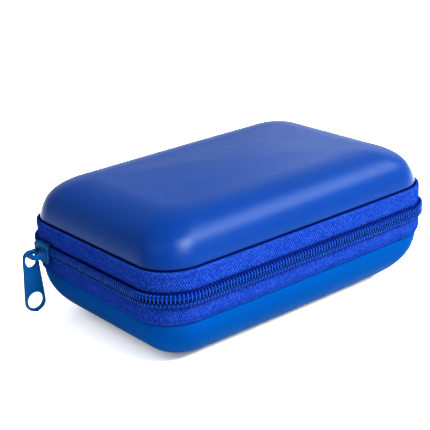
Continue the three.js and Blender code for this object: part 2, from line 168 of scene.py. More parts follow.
def outline(stations, inset):
    """Where the stations lie in plan, in mm, on the outline that is inset mm inside the band."""
    length, width = HALF_LENGTH - inset, HALF_WIDTH - inset
    within = np.minimum(inset, BAND_THICKNESS)
    radius = CORNER_RADIUS - within - CORNER_TIGHTENING * np.maximum(inset - BAND_THICKNESS, 0)
    share_x, round_x, share_y, round_y = stations.T
    x, y = share_x * length + round_x * radius, share_y * width + round_y * radius
    return np.stack([x, y * (1 - LONG_SIDE_BOW / width * (x / length) ** 2)], -1)


def swept(stations, section):
    """Rows of points: the section's (inset, height) corners at each station, in mm."""
    rows = np.empty((len(stations), len(section), 3))
    for i, (inset, height) in enumerate(section):
        rows[:, i, :2], rows[:, i, 2] = outline(stations, inset), height
    return rows


def lofted(name, rows, ends=None, along=None, across=None):
    """A closed mesh through rows of equally many points, each row a loop. Its ends are closed by
    fans to two points, or else the last row joins the first. along and across give its UV map,
    in mm, at the rows and at the points of a row."""
    count, size = rows.shape[:2]
    points = rows.reshape(-1, 3)
    row, column = np.meshgrid(np.arange(count - (ends is not None)), np.arange(size), indexing="ij")
    row, column = row.ravel(), column.ravel()
    corners_at = [(row, column), (row, column + 1), (row + 1, column + 1), (row + 1, column)]
    faces = np.stack([(r % count) * size + c % size for r, c in corners_at], 1)
    if along is None:
        along, across = np.arange(count + 1.0), np.arange(size + 1.0)
    u = np.stack([along[r] for r, _ in corners_at], 1)
    v = np.stack([across[c] for _, c in corners_at], 1)
    a, b, c, d = (points[faces[:, k]] for k in range(4))
    inside_out = (a * np.cross(b, c) + a * np.cross(c, d)).sum() < 0
    if inside_out:
        faces, u, v = faces[:, ::-1], u[:, ::-1], v[:, ::-1]
    uv, faces = np.stack([u, v], -1).reshape(-1, 2), faces.tolist()
    if ends is not None:
        points = np.vstack([points, ends])
        first, last, final_row = count * size, count * size + 1, (count - 1) * size
        ring = np.arange(size)
        after = (ring + 1) % size
        fans = [np.stack([0 * ring + first, after, ring], 1)]
        fans.append(np.stack([0 * ring + last, final_row + ring, final_row + after], 1))
        fans = np.vstack(fans)[:, ::-1] if inside_out else np.vstack(fans)
        faces += fans.tolist()
        at = np.zeros((len(fans) * 3, 2))
        at[:, 0] = np.repeat([along[0], along[count - 1]], 3 * size)
        at[:, 1] = np.repeat(np.tile(across[:size], 2), 3)
        uv = np.vstack([uv, at])
    mesh = bpy.data.meshes.new(name)
    mesh.from_pydata((points * MM).tolist(), [], faces)
    mesh.uv_layers.new(name="UVMap").data.foreach_set("uv", uv.astype(np.float32).ravel())
    mesh.shade_smooth()
    return placed(name, mesh)


def pinched(profile, pinch, rim, reach):
    """The profile, drawn in at the rim by the stitching."""
    profile[:, 0] += pinch * np.exp(-(((profile[:, 1] - rim) / reach) ** 2))
    return profile


def lid_profile(depth, pinch=0.0):
    """(inset, height) from the lid's edge, behind the band, up to the crown."""
    across, rise = LID_FILLET_ACROSS - depth, HEIGHT - CROWN_RISE - LID_WALL_TOP - depth
    turn = np.linspace(FILLET_FROM, math.pi / 2, FILLET_STEPS)
    fillet = np.stack([
        RIM_STEP + LID_DRAFT + depth + across * (1 - np.cos(turn)),
        LID_WALL_TOP + rise * np.sin(turn),
    ], 1)
    foot = np.array([RIM_STEP + LID_FOOT_IN + depth, UPPER_RIM])
    t = np.linspace(0, 1, WALL_STEPS)[:-1, None] ** WALL_CROWDING
    tall = fillet[0, 1] - foot[1]
    lean_out = np.array([[FOOT_LEAN * tall, tall]])
    lean_in = np.array([[across / rise * math.tan(FILLET_FROM) * tall, tall]])
    wall = (
        (2 * t**3 - 3 * t**2 + 1) * foot + (t**3 - 2 * t**2 + t) * lean_out
        + (3 * t**2 - 2 * t**3) * fillet[0] + (t**3 - t**2) * lean_in
    )
    skirt = [(foot[0], height) for height in LID_SKIRT]
    return pinched(np.vstack([skirt, wall, fillet]), pinch, UPPER_RIM, LID_PINCH_REACH)


def bowl_profile(depth, pinch=0.0):
    """(inset, height) from the bowl's edge, behind the band, down to its floor."""
    across, drop = BOWL_ACROSS - depth, LOWER_RIM - depth
    turn = np.linspace(0, 1, BOWL_STEPS) ** BOWL_CROWDING * math.pi / 2
    bowl = np.stack([
        RIM_STEP + depth + across * (1 - np.cos(turn)),
        LOWER_RIM - drop * np.sin(turn),
    ], 1)
    skirt = [(RIM_STEP + depth, height) for height in BOWL_SKIRT]
    return pinched(np.vstack([skirt, bowl]), pinch, LOWER_RIM, BOWL_PINCH_REACH)


WHOLE_RING = np.vstack([
    corner(0), short_side(-1), corner(1), long_side(-1),
    corner(2), short_side(1), corner(3), long_side(1),
])


def shell_face(profile, crown, crown_rise):
    """Rows of points from the shell's edge up its wall to a small ring round the crown."""
    rows = [swept(WHOLE_RING, [step])[:, 0] for step in profile]
    rim = rows[-1]
    for t in np.linspace(1, LEAST_RING, CROWN_RINGS)[1:]:
        ring = rim * (t, t, 0)
        ring[:, 2] = crown - crown_rise * (1 - (1 - t**2) ** 2)
        rows.append(ring)
    return np.array(rows)


def shell_layer(name, profile, crown, depth, thickness, crown_rise, pinch=0.0):
    """One closed layer of a shell, from a depth under the cover's face inwards."""
    inward = -1 if crown > CHAIN else 1
    tops = [crown + inward * depth, crown + inward * (depth + thickness)]
    outer = shell_face(profile(depth, pinch), tops[0], crown_rise)
    inner = shell_face(profile(depth + thickness), tops[1], crown_rise)
    return lofted(name, np.vstack([outer[::-1], inner]), [(0, 0, tops[0]), (0, 0, tops[1])])


def feed(tree, slot, value):
    """Links a wire to a socket, or keeps a constant on it."""
    if isinstance(value, Wire):
        tree.links.new(value.socket, slot)
    else:
        slot.default_value = value


class Wire:
    """A number or colour that runs between nodes. Arithmetic on one adds Math nodes."""

    def __init__(self, tree, socket):
        self.tree, self.socket = tree, socket

    def math(self, operation, *values):
        node = self.tree.nodes.new("ShaderNodeMath")
        node.operation = operation
        for slot, value in zip(node.inputs, values):
            feed(self.tree, slot, value)
        return Wire(self.tree, node.outputs[0])

    def __add__(self, other): return self.math("ADD", self, other)
    def __radd__(self, other): return self.math("ADD", other, self)
    def __sub__(self, other): return self.math("SUBTRACT", self, other)
    def __rsub__(self, other): return self.math("SUBTRACT", other, self)
    def __mul__(self, other): return self.math("MULTIPLY", self, other)
    def __rmul__(self, other): return self.math("MULTIPLY", other, self)
    def __truediv__(self, other): return self.math("DIVIDE", self, other)
    def __pow__(self, other): return self.math("POWER", self, other)
    def __mod__(self, other): return self.math("FLOORED_MODULO", self, other)
    def __neg__(self): return self.math("MULTIPLY", self, -1)
    def __abs__(self): return self.math("ABSOLUTE", self)
    def floor(self): return self.math("FLOOR", self)
    def sine(self): return self.math("SINE", self)
    def cosine(self): return self.math("COSINE", self)
    def at_least(self, other): return self.math("MAXIMUM", self, other)
    def at_most(self, other): return self.math("MINIMUM", self, other)
    def sign(self): return self.math("SIGN", self)
    def above(self, other): return self.math("GREATER_THAN", self, other)


def named_slot(slots, key):
    if isinstance(key, int):
        return slots[key]
    return next(s for s in slots if key in (s.identifier, s.name) and s.enabled)


def add_node(tree, kind, settings=None, sockets=None, output=0):
    """A node of that kind. Its settings are set first, then its sockets by name or identifier."""
    node = tree.nodes.new(kind)
    for setting, value in (settings or {}).items():
        setattr(node, setting, value)
    for key, value in (sockets or {}).items():
        feed(tree, named_slot(node.inputs, key), value)
    return Wire(tree, named_slot(node.outputs, output))


def numbers_in(tree, vector):
    """The three numbers of a vector."""
    split = add_node(tree, "ShaderNodeSeparateXYZ", None, {0: vector})
    return [Wire(tree, slot) for slot in split.socket.node.outputs]


class Finish:
    """A material under construction, with one glossy surface shader."""

    def __init__(self, name):
        self.material = bpy.data.materials.new(name)
        self.material.use_nodes = True
        self.tree = self.material.node_tree
        self.shader = self.tree.nodes["Principled BSDF"]
        self.place = self.node("ShaderNodeTexCoord", output="Object")

    def node(self, kind, settings=None, sockets=None, output=0):
        return add_node(self.tree, kind, settings, sockets, output)

    def along_and_across(self):
        """Where a point lies on its cloth, in mm, from the UV map."""
        return numbers_in(self.tree, self.node("ShaderNodeUVMap", {"uv_map": "UVMap"}))[:2]

    def noise(self, size_mm, detail=2, stretch=(1, 1, 1), roughness=0.5, where=None):
        """Noise from 0 to 1 whose lumps are about size_mm across."""
        return self.node("ShaderNodeTexNoise", None, {
            "Vector": self.stretched(where, stretch), "Scale": 1 / (size_mm * MM),
            "Detail": detail, "Roughness": roughness,
        }, "Fac")

    def stretched(self, where, stretch):
        return self.node("ShaderNodeMapping", {"vector_type": "POINT"}, {
            "Vector": where or self.place, "Scale": stretch,
        })

    def mix(self, share, first, second):
        return self.node("ShaderNodeMix", {"data_type": "RGBA"}, {
            "Factor_Float": share, "A_Color": first, "B_Color": second,
        }, "Result_Color")

    def relief(self, height, depth_mm, strength=1.0, under=None):
        """A normal bent by a height from 0 to 1 over a depth in mm."""
        sockets = {"Height": height, "Distance": depth_mm * MM, "Strength": strength}
        if under is not None:
            sockets["Normal"] = under
        return self.node("ShaderNodeBump", None, sockets)

    def set(self, **inputs):
        for name, value in inputs.items():
            feed(self.tree, self.shader.inputs[name.replace("_", " ")], value)
        return self.material


def coated_cloth(name, blue, deep_blue, gloss):
    cloth = Finish(name)
    swell = cloth.noise(22, detail=1)
    rub = cloth.noise(5, detail=4, roughness=0.6)
    streaks = cloth.noise(0.55, detail=3, stretch=(0.2, 0.5, 1))
    pores = cloth.noise(0.35, detail=1)
    colour = cloth.mix(0.75 * swell + 0.35 * rub, deep_blue, blue)
    height = numbers_in(cloth.tree, cloth.place)[2] / MM
    # Painted shade: the cloth is painted darker towards each rim seam, over a narrower band at the
    # bowl's.
    from_lower_seam = abs(height - LOWER_RIM) * BOWL_SHADOW_NARROWER
    from_seam = abs(height - UPPER_RIM).at_most(from_lower_seam)
    crease = (1 - from_seam / SEAM_SHADOW_REACH).at_least(0) ** 0.6
    colour = cloth.mix(crease, colour, SEAM_SHADOW)
    broad = cloth.relief(swell, 0.3, 0.3)
    fine = cloth.relief(0.75 * streaks + 0.25 * pores, 0.06, 1.0, broad)
    return cloth.set(
        Base_Color=colour, Roughness=COVER_ROUGHNESS + 0.12 * rub, Specular_IOR_Level=gloss,
        Normal=fine,
    )


cover_finish = coated_cloth("coated cloth", LID_BLUE, LID_DEEP_BLUE, LID_GLOSS)
# The bowl wears a copy of the cloth painted lighter: painted light from the floor below.
bowl_finish = coated_cloth("coated cloth with painted floor light", BOWL_BLUE, BOWL_DEEP_BLUE, BOWL_GLOSS)
lid_cover = shell_layer("lid_cover", lid_profile, HEIGHT, 0, COVER_THICKNESS, CROWN_RISE, PINCH)
bowl_cover = shell_layer("bowl_cover", bowl_profile, 0, 0, COVER_THICKNESS, 0, PINCH)
for cover, finish, node, body, foam, (width, length, area) in (
    (lid_cover, cover_finish, "upper_skin", "lid", "upper_foam_shell", LID_COVER_CUT),
    (bowl_cover, bowl_finish, "lower_skin", "base", "lower_foam_shell", BOWL_COVER_CUT),
):
    cover.data.materials.append(finish)
    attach(cover, body)
    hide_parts(node)

# Zip tapes. Two bands of woven polyester cloth in a coarse twill carry the chain. Each bulges a
# little, dips in beside its coil, backs the coil, and folds over at the seam with its shell.
TAPE_END, TAPE_ROW, TAPE_CLOTH = 70, 0.33, 0.6
TAPE_LENGTH, LID_TAPE_WIDTH, BOWL_TAPE_WIDTH = 0.346, 0.0128, 0.012
FACE_POINTS, FOLD_POINTS, BACK_POINTS = 50, 4, (42, 30, 22, 18, 15, 12, 9, 5, 0)
TAPE_BULGE, TAPE_DIP, BULGE_REACH, FOLD_ROUND = 0.3, 0.5, 2.2, 0.5
TUCK_IN, TUCK_REACH, HEM_IN, LOWER_HEM_DEEPER, HEM_SEAT = 1.1, 3.2, 0.15, 0.9, (0.12, 0.7)
TAPE_UNDER_COIL, UNDER_COIL_RISE, PAST_COIL = 0.36, 0.5, -0.05
TAPE_SLOT, COIL_HALF_WIDTH, LOWER_COIL_SHORT = 0.4, 3.05, 0.65
COIL_END, COIL_ROW, MESH_DEPTH, EDGE_BEHIND_HEADS, EDGE_GIVES = 48, 0.5, 0.3, 0.2, 2.6
PARTED_FROM_END = (0, 8, 11.1, 12.5, 14, 18.5)
INNER_EDGES = (1.5, 1.4, 1.0, 0.6, 0.25, -MESH_DEPTH)
TWILL_ALONG, TWILL_ACROSS, TWILL_RELIEF, TWILL_STEP, TWILL_FADE = 1.0, 0.62, 0.08, 0.3, 6
TAPE_RIPPLES = ((0.06, 3.9, 0), (0.05, 8.7, 1))
TAPE_BLUE, TAPE_SHADE = (0.0195, 0.0435, 0.16, 1), (0, 0.0095, 0.076, 1)
COIL_SHADOW, COIL_SHADOW_REACH, COIL_SHADOW_SHARE = (0, 0.0012, 0.024, 1), 0.55, 0.7
# The tape under the coil is painted dark, as painted shade.
UNDER_COIL_SHADE = (0, 0.0035, 0.046, 1)


def zip_run(end, steps=200):
    """Stations from one back corner round the front to the other, to an angle off the sides."""
    return np.vstack([
        corner(0, 90 - end, 90, steps), short_side(-1, steps), corner(1, steps=steps),
        long_side(-1, 2 * steps), corner(2, steps=steps), short_side(1, steps),
        corner(3, 0, end, steps),
    ])


def reached(points):
    """How far along a line each of its points is, in mm."""
    return np.concatenate([[0], np.cumsum(np.linalg.norm(np.diff(points, axis=0), axis=1))])


def evenly(stations, spacing):
    """The same run with its stations evenly spaced, and how far along the band each one is."""
    along = reached(outline(stations, 0))
    places = np.linspace(0, along[-1], round(along[-1] / spacing) + 1)
    return np.stack([np.interp(places, along, column) for column in stations.T], 1), places


def tape_section(side):
    """(inset, height) round the tape's cut, with the outer face first, from the coil to the rim."""
    rim = UPPER_RIM if side > 0 else LOWER_RIM
    coil_half = COIL_HALF_WIDTH - LOWER_COIL_SHORT * (side < 0)
    coil_edge = CHAIN + side * (coil_half + PAST_COIL)
    face = np.linspace(CHAIN + side * TAPE_SLOT, rim - side * FOLD_ROUND, FACE_POINTS)
    from_coil = np.clip(side * (face - coil_edge) / BULGE_REACH, 0, 1)
    bulge = TAPE_BULGE * from_coil**0.5 - TAPE_DIP * (1 - from_coil) ** 3
    under_coil = np.clip(side * (coil_edge - face) / UNDER_COIL_RISE, 0, 1)
    bulge += (TAPE_DIP + TAPE_UNDER_COIL) * under_coil**2 * (3 - 2 * under_coil)
    outer = -bulge
    if side < 0:
        outer += TUCK_IN * np.clip((LOWER_RIM + TUCK_REACH - face) / TUCK_REACH, 0, 1) ** 1.6
    turn = np.linspace(0, math.pi / 2, FOLD_POINTS + 1)[1:]
    fold = np.stack([
        outer[-1] + FOLD_ROUND * (1 - np.cos(turn)),
        rim - side * FOLD_ROUND * (1 - np.sin(turn)),
    ], 1)
    deep = RIM_STEP + HEM_IN + LOWER_HEM_DEEPER * (side < 0)
    hem = [(deep, rim - side * from_rim) for from_rim in HEM_SEAT]
    back_of = [(outer[i] + TAPE_CLOTH, face[i]) for i in BACK_POINTS]
    return np.vstack([np.stack([outer, face], 1), fold, hem, back_of])


def around(section):
    """How far round its cut each point of a section lies, in mm, and the whole way round."""
    return reached(np.vstack([section, section[:1]]))


def new_tree(name, *inputs):
    """A tree of geometry nodes, and wires from its geometry and from each named number."""
    tree = bpy.data.node_groups.new(name, "GeometryNodeTree")
    tree.interface.new_socket("Geometry", in_out="INPUT", socket_type="NodeSocketGeometry")
    for label in inputs:
        tree.interface.new_socket(label, in_out="INPUT", socket_type="NodeSocketFloat")
    tree.interface.new_socket("Geometry", in_out="OUTPUT", socket_type="NodeSocketGeometry")
    given = tree.nodes.new("NodeGroupInput")
    return tree, [Wire(tree, given.outputs[k]) for k in range(len(inputs) + 1)]


def end_tree(tree, *made):
    """Joins (geometry, finish) pairs as real faces with their materials on."""
    joint = tree.nodes.new("GeometryNodeJoinGeometry")
    for shape, finish in made:
        whole = add_node(tree, "GeometryNodeRealizeInstances", None, {"Geometry": shape})
        done = add_node(tree, "GeometryNodeSetMaterial", None,
                        {"Geometry": whole, "Material": finish})
        tree.links.new(done.socket, joint.inputs[0])
    tree.links.new(joint.outputs[0], tree.nodes.new("NodeGroupOutput").inputs[0])
    return tree


def scaled(tree, direction, length):
    return add_node(tree, "ShaderNodeVectorMath", {"operation": "SCALE"},
                    {"Vector": direction, "Scale": length})


def carried(tree, name, kind="FLOAT"):
    """What store() keeps on the points under that name."""
    return add_node(tree, "GeometryNodeInputNamedAttribute", {"data_type": kind}, {"Name": name})


def twill_tree(finish):
    """Raises the cloth's outer face into the floats of a twill."""
    tree, (cloth, relief, along, across, step) = new_tree(
        "twill relief", "Relief", "Along", "Across", "Step")
    u, v, woven = (carried(tree, name) for name in ("along", "across", "woven"))
    row = (v / across).floor()
    swell = ((v / across) % 1 * math.pi).sine()
    hump = ((u / along + row * step) * math.tau).cosine() * 0.5 + 0.5
    away = carried(tree, "outward", "FLOAT_VECTOR")
    lift = scaled(tree, away, swell * hump * relief * woven * MM)
    raised = add_node(tree, "GeometryNodeSetPosition", None, {"Geometry": cloth, "Offset": lift})
    return end_tree(tree, (raised, finish))


def plain_mesh(thing):
    """The mesh that an object's modifiers make of it."""
    view = bpy.context.evaluated_depsgraph_get()
    return bpy.data.meshes.new_from_object(thing.evaluated_get(view))


def grown(seed_object, tree, name, **sizes):
    """The plain mesh that the tree makes from an object, which it replaces."""
    modifier = seed_object.modifiers.new("grow", "NODES")
    modifier.node_group = tree
    for item in tree.interface.items_tree:
        if item.in_out == "INPUT" and item.name in sizes:
            modifier[item.identifier] = sizes[item.name]
    mesh = plain_mesh(seed_object)
    seed_object.modifiers.remove(modifier)
    bpy.data.objects.remove(seed_object)
    mesh.name = name
    return placed(name, mesh)


def store(piece, **values):
    """Keeps numbers or directions on the points of a piece, for its nodes to read."""
    for name, value in values.items():
        kind, field = ("FLOAT_VECTOR", "vector") if value.ndim == 2 else ("FLOAT", "value")
        layer = piece.data.attributes.new(name, kind, "POINT")
        layer.data.foreach_set(field, value.astype(np.float32).ravel())


def outward_at(stations):
    """The level direction away from the case at each station."""
    near, far = outline(stations, 0), outline(stations, -1)
    away = np.column_stack([far - near, np.zeros(len(near))])
    return away / np.linalg.norm(away, axis=1)[:, None]


def on_cloth(finish, along, across):
    """The place of a point on its cloth as it lies flat, in metres, for noise to read."""
    return finish.node("ShaderNodeCombineXYZ", None, {"X": along * MM, "Y": across * MM})


def woven_tape():
    tape = Finish("woven tape")
    u, v = tape.along_and_across()
    uneven = tape.noise(1.2, detail=3, where=on_cloth(tape, u, v))
    u, v = u + (uneven - 0.5) * 1.2, v + (uneven - 0.5) * 0.3
    row = (v / TWILL_ACROSS).floor()
    run = u / TWILL_ALONG + row * TWILL_STEP
    swell = ((v / TWILL_ACROSS) % 1 * math.pi).sine()
    hump = (run * math.tau).cosine() * 0.5 + 0.5
    float_id = tape.node("ShaderNodeCombineXYZ", None, {"X": (run + 0.5).floor(), "Y": row})
    luck = tape.node("ShaderNodeTexWhiteNoise", {"noise_dimensions": "2D"}, {"Vector": float_id},
                     "Value")
    fibres = tape.noise(0.3, detail=2, where=on_cloth(tape, u, v))
    patches = tape.noise(7, detail=3)
    # Painted light and shade: the crowns of the floats are painted lighter and more violet, as
    # painted glints, and the dips between them darker.
    lit = swell ** 0.5 * hump * (0.5 + 0.7 * luck) + 0.25 * patches - 0.1
    colour = tape.mix(lit.at_least(0).at_most(1), TAPE_SHADE, TAPE_BLUE)
    from_chain = numbers_in(tape.tree, tape.place)[2] / MM - CHAIN
    coil_edge = COIL_HALF_WIDTH + PAST_COIL - LOWER_COIL_SHORT * (1 - from_chain.above(0))
    past_coil = abs(from_chain) - coil_edge
    # Painted shade: the tape under the coil is painted dark navy, so that the gaps between its
    # turns look shaded.
    shade_under_coil = (past_coil / -UNDER_COIL_RISE).at_least(0).at_most(1)
    # Painted shadow: a dark line is painted on the tape along the coil's edge.
    shadow_beside_coil = (1 - abs(past_coil) / COIL_SHADOW_REACH).at_least(0)
    colour = tape.mix(shade_under_coil, colour, UNDER_COIL_SHADE)
    colour = tape.mix(shadow_beside_coil * COIL_SHADOW_SHARE, colour, COIL_SHADOW)
    height = swell * hump * 0.6 + fibres * 0.4
    return tape.set(
        Base_Color=colour, Roughness=0.7 + 0.2 * fibres, Specular_IOR_Level=0,
        Sheen_Weight=0.02, Sheen_Roughness=0.4, Sheen_Tint=(0.1, 0.2, 1, 1),
        Normal=tape.relief(height, 0.16, 0.9),
    )


tape_finish = woven_tape()
weave = twill_tree(tape_finish)
tape_run, tape_along = evenly(zip_run(TAPE_END), TAPE_ROW)
ripple = sum(deep * np.sin(tape_along / reach + start) for deep, reach, start in TAPE_RIPPLES)
chain_run, chain_along = evenly(zip_run(COIL_END), COIL_ROW)
from_coil_end = tape_along - (tape_along[-1] - chain_along[-1]) / 2
parted = np.interp(from_coil_end, PARTED_FROM_END, INNER_EDGES) + EDGE_BEHIND_HEADS - TAPE_SLOT
for name, side, node, body, cover, width in (
    ("lid_zip_tape", 1, "upper_zip_tape", "lid", lid_cover, LID_TAPE_WIDTH),
    ("bowl_zip_tape", -1, "lower_zip_tape", "base", bowl_cover, BOWL_TAPE_WIDTH),
):
    section = tape_section(side)
    rows = np.empty((len(tape_run), len(section), 3))
    for column, (inset, height) in enumerate(section):
        loose = column < FACE_POINTS + FOLD_POINTS
        rows[:, column, :2] = outline(tape_run, inset + ripple * loose)
        gives = np.clip(1 - (abs(height - CHAIN) - TAPE_SLOT) / EDGE_GIVES, 0, 1)
        rows[:, column, 2] = height + side * gives * np.maximum(parted, 0)
    across = around(section)
    tape = lofted(name, rows, rows[[0, -1]].mean(1), tape_along, across)
    woven = np.zeros(len(section))
    woven[:FACE_POINTS] = np.minimum(np.arange(FACE_POINTS) / TWILL_FADE, 1)
    ends = np.zeros(2)
    store(
        tape,
        along=np.append(np.repeat(tape_along, len(section)), ends),
        across=np.append(np.tile(across[:-1], len(tape_run)), ends),
        woven=np.append(np.tile(woven, len(tape_run)), ends),
        outward=np.vstack([np.repeat(outward_at(tape_run), len(section), 0), np.zeros((2, 3))]),
    )
    tape = grown(tape, weave, name, Relief=TWILL_RELIEF, Along=TWILL_ALONG, Across=TWILL_ACROSS,
                 Step=TWILL_STEP)
    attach(tape, body)
    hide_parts(node)

# Zip chain. A nylon filament is wound round a soft core into a coil on each tape. The heads of
# the two coils mesh turn by turn, and part behind the slider, in the back left corner.
PITCH, FILAMENT, COIL_LOW, COIL_TOP = 1.5, 0.355, 0.3, 1.98
MESH_DROP, HEAD_SWELL, TURN_POINTS, SQUARE_ACROSS, SQUARE_OUT = 0.5, 1.03, 14, 0.85, 0.8
CORE_RADIUS, CORE_OUT, CORE_FROM_MIDDLE, FIRST_TURN = 0.55, 1.05, 0.15, (0.25, 0.75)
OUTER_EDGES = (4.4, 4.2, 3.3, 3.2, 3.05, 3.05)
THREAD_OVER_COIL, THREAD_RADIUS, THREAD_LIFT, THREAD_SUNK = 2.45, 0.14, 0.1, 0.1
THREAD_WANDER, THREAD_POINTS = 0.07, 8
COIL_BLUE, COIL_DEEP = (0.0005, 0.032, 0.16, 1), (0, 0.012, 0.075, 1)
COIL_HEAD_REFLECTION, LOWER_HEAD_SHADE = (0, 0.04, 0.11, 1), (0, 0.0035, 0.03, 1)
THREAD_BLUE, THREAD_SHADE = (0.001, 0.018, 0.13, 1), (0, 0.005, 0.055, 1)


def summed(tree, *vectors):
    total = vectors[0]
    for vector in vectors[1:]:
        total = add_node(tree, "ShaderNodeVectorMath", {"operation": "ADD"}, {0: total, 1: vector})
    return total


def beside_path(tree, tangent, out, up):
    """An offset from a level path: away from the case, and straight up."""
    away = add_node(tree, "ShaderNodeVectorMath", {"operation": "CROSS_PRODUCT"},
                    {0: tangent, 1: (0, 0, 1)})
    rise = add_node(tree, "ShaderNodeCombineXYZ", None, {"Z": up})
    return summed(tree, scaled(tree, away, out), rise)


def tube(tree, curve, radius, sides=6):
    ring = add_node(tree, "GeometryNodeCurvePrimitiveCircle", {"mode": "RADIUS"},
                    {"Resolution": sides, "Radius": radius})
    return add_node(tree, "GeometryNodeCurveToMesh", None,
                    {"Curve": curve, "Profile Curve": ring, "Fill Caps": True})


def numbered_curve(tree, count):
    """A curve of that many points, to be laid out by their numbers, and each point's number."""
    line = add_node(tree, "GeometryNodeMeshLine", {"mode": "OFFSET"},
                    {"Count": count, "Offset": (MM, 0, 0)})
    curve = add_node(tree, "GeometryNodeMeshToCurve", None, {"Mesh": line})
    return curve, add_node(tree, "GeometryNodeInputIndex")


def along_path(tree, path, distance):
    """Where a distance along the path is, its direction, and the coil's two edges there."""
    place = add_node(
        tree, "GeometryNodeSampleCurve",
        {"mode": "LENGTH", "data_type": "FLOAT_VECTOR", "use_all_curves": True},
        {"Curves": path, "Length": distance, "Value": carried(tree, "reach", "FLOAT_VECTOR")},
        "Position",
    )
    found = place.socket.node.outputs
    return [Wire(tree, named_slot(found, name)) for name in ("Position", "Tangent", "Value")]


def coil_tree(filament_finish, core_finish):
    """A filament wound into squared turns between the band's edges, round a straight core."""
    tree, (band, side, turns, start, pitch, radius, low, top, core_radius) = new_tree(
        "coil", "Side", "Turns", "Start", "Pitch", "Radius", "Low", "Top", "Core")
    path = add_node(tree, "GeometryNodeMeshToCurve", None, {"Mesh": band})
    curve, number = numbered_curve(tree, turns * TURN_POINTS + 1)
    turn = (number / TURN_POINTS).floor()
    share = number / TURN_POINTS - turn
    angle = share * math.tau
    lean = (share * 2 - 1).at_least(0)
    place, tangent, reach = along_path(tree, path, (turn + lean + start) * pitch * MM)
    inner, outer = numbers_in(tree, reach)[:2]
    swing = angle.cosine()
    half = (outer - inner) / 2 - radius
    squared = swing.sign() * abs(swing) ** SQUARE_ACROSS
    across = ((inner + outer) / 2 - half * squared) * side * MM
    bow = angle.sine()
    half_height = (top - low) / 2 - radius
    out = ((top + low) / 2 + half_height * bow.sign() * abs(bow) ** SQUARE_OUT) * MM
    spot = summed(tree, place, beside_path(tree, tangent, out, across))
    wound = add_node(tree, "GeometryNodeSetPosition", None, {"Geometry": curve, "Position": spot})
    head = swing.at_least(0) ** 2
    # The lower coil's heads are stored negative, so that the nylon paints shade on them.
    marked = add_node(tree, "GeometryNodeStoreNamedAttribute", {"data_type": "FLOAT"},
                      {"Geometry": wound, "Name": "head", "Value": head * side})
    round_wire = add_node(tree, "GeometryNodeSetCurveRadius", None,
                          {"Curve": marked, "Radius": 1 + (HEAD_SWELL - 1) * head})
    middle, path_tangent = carried(tree, "middle"), add_node(tree, "GeometryNodeInputTangent")
    core = add_node(tree, "GeometryNodeSetPosition", None, {
        "Geometry": path,
        "Offset": beside_path(tree, path_tangent, CORE_OUT * MM, middle * side * MM),
    })
    return end_tree(
        tree, (tube(tree, round_wire, radius * MM), filament_finish),
        (tube(tree, core, core_radius * MM, 8), core_finish),
    )


def thread_tree(finish):
    """A sewing thread that lies on the coil and dips between its turns."""
    tree, (band, side, turns, start, pitch, radius, top) = new_tree(
        "coil stitching", "Side", "Turns", "Start", "Pitch", "Radius", "Top")
    path = add_node(tree, "GeometryNodeMeshToCurve", None, {"Mesh": band})
    curve, number = numbered_curve(tree, turns * THREAD_POINTS + 1)
    turn = number / THREAD_POINTS
    place, tangent, reach = along_path(tree, path, (turn + start) * pitch * MM)
    shift = numbers_in(tree, reach)[1] - COIL_HALF_WIDTH
    wave = ((turn + 0.25) * math.tau).cosine()
    out = (top - radius - THREAD_SUNK + wave * THREAD_LIFT) * MM
    up = (shift + THREAD_OVER_COIL + (turn * math.pi).sine() * THREAD_WANDER) * side * MM
    spot = summed(tree, place, beside_path(tree, tangent, out, up))
    laid = add_node(tree, "GeometryNodeSetPosition", None, {"Geometry": curve, "Position": spot})
    return end_tree(tree, (tube(tree, laid, radius * MM), finish))


def nylon():
    filament = Finish("nylon filament")
    head = filament.node("ShaderNodeAttribute", {"attribute_name": "head"}, output="Fac")
    flow = filament.noise(1.2, detail=2)
    scuffs = filament.noise(0.25, detail=3, stretch=(1, 1, 0.4))
    body = filament.mix(flow, COIL_DEEP, COIL_BLUE)
    # Painted reflection: the upper coil's heads are given a teal tint along the line where the
    # coils mesh.
    colour = filament.mix(head.at_least(0) * 0.75, body, COIL_HEAD_REFLECTION)
    # Painted shade: the lower coil's heads, which lie under the upper coil's, are painted dark
    # navy.
    colour = filament.mix((-head).at_least(0) * 0.9, colour, LOWER_HEAD_SHADE)
    return filament.set(
        Base_Color=colour, Roughness=0.26 + 0.16 * scuffs, Specular_IOR_Level=0.075,
        Normal=filament.relief(scuffs, 0.02, 0.6),
    )


def sewing_thread():
    thread = Finish("sewing thread")
    ply = thread.node("ShaderNodeTexWave", {"wave_type": "BANDS", "bands_direction": "DIAGONAL"}, {
        "Vector": thread.place, "Scale": 900, "Distortion": 1.5, "Detail": 1,
    }, "Fac")
    fuzz = thread.noise(0.2, detail=2)
    return thread.set(
        Base_Color=thread.mix(0.7 * ply + 0.3 * fuzz, THREAD_SHADE, THREAD_BLUE),
        Roughness=0.55 + 0.2 * fuzz, Specular_IOR_Level=0.08,
        Normal=thread.relief(ply, 0.05, 0.7),
    )


def line_round(name, stations, out, height):
    """A line of edges, out mm proud of the band, at a height or at one for each station."""
    points = np.column_stack([outline(stations, -out), height + np.zeros(len(stations))]) * MM
    mesh = bpy.data.meshes.new(name)
    mesh.from_pydata(points.tolist(), [(i, i + 1) for i in range(len(points) - 1)], [])
    return placed(name, mesh)


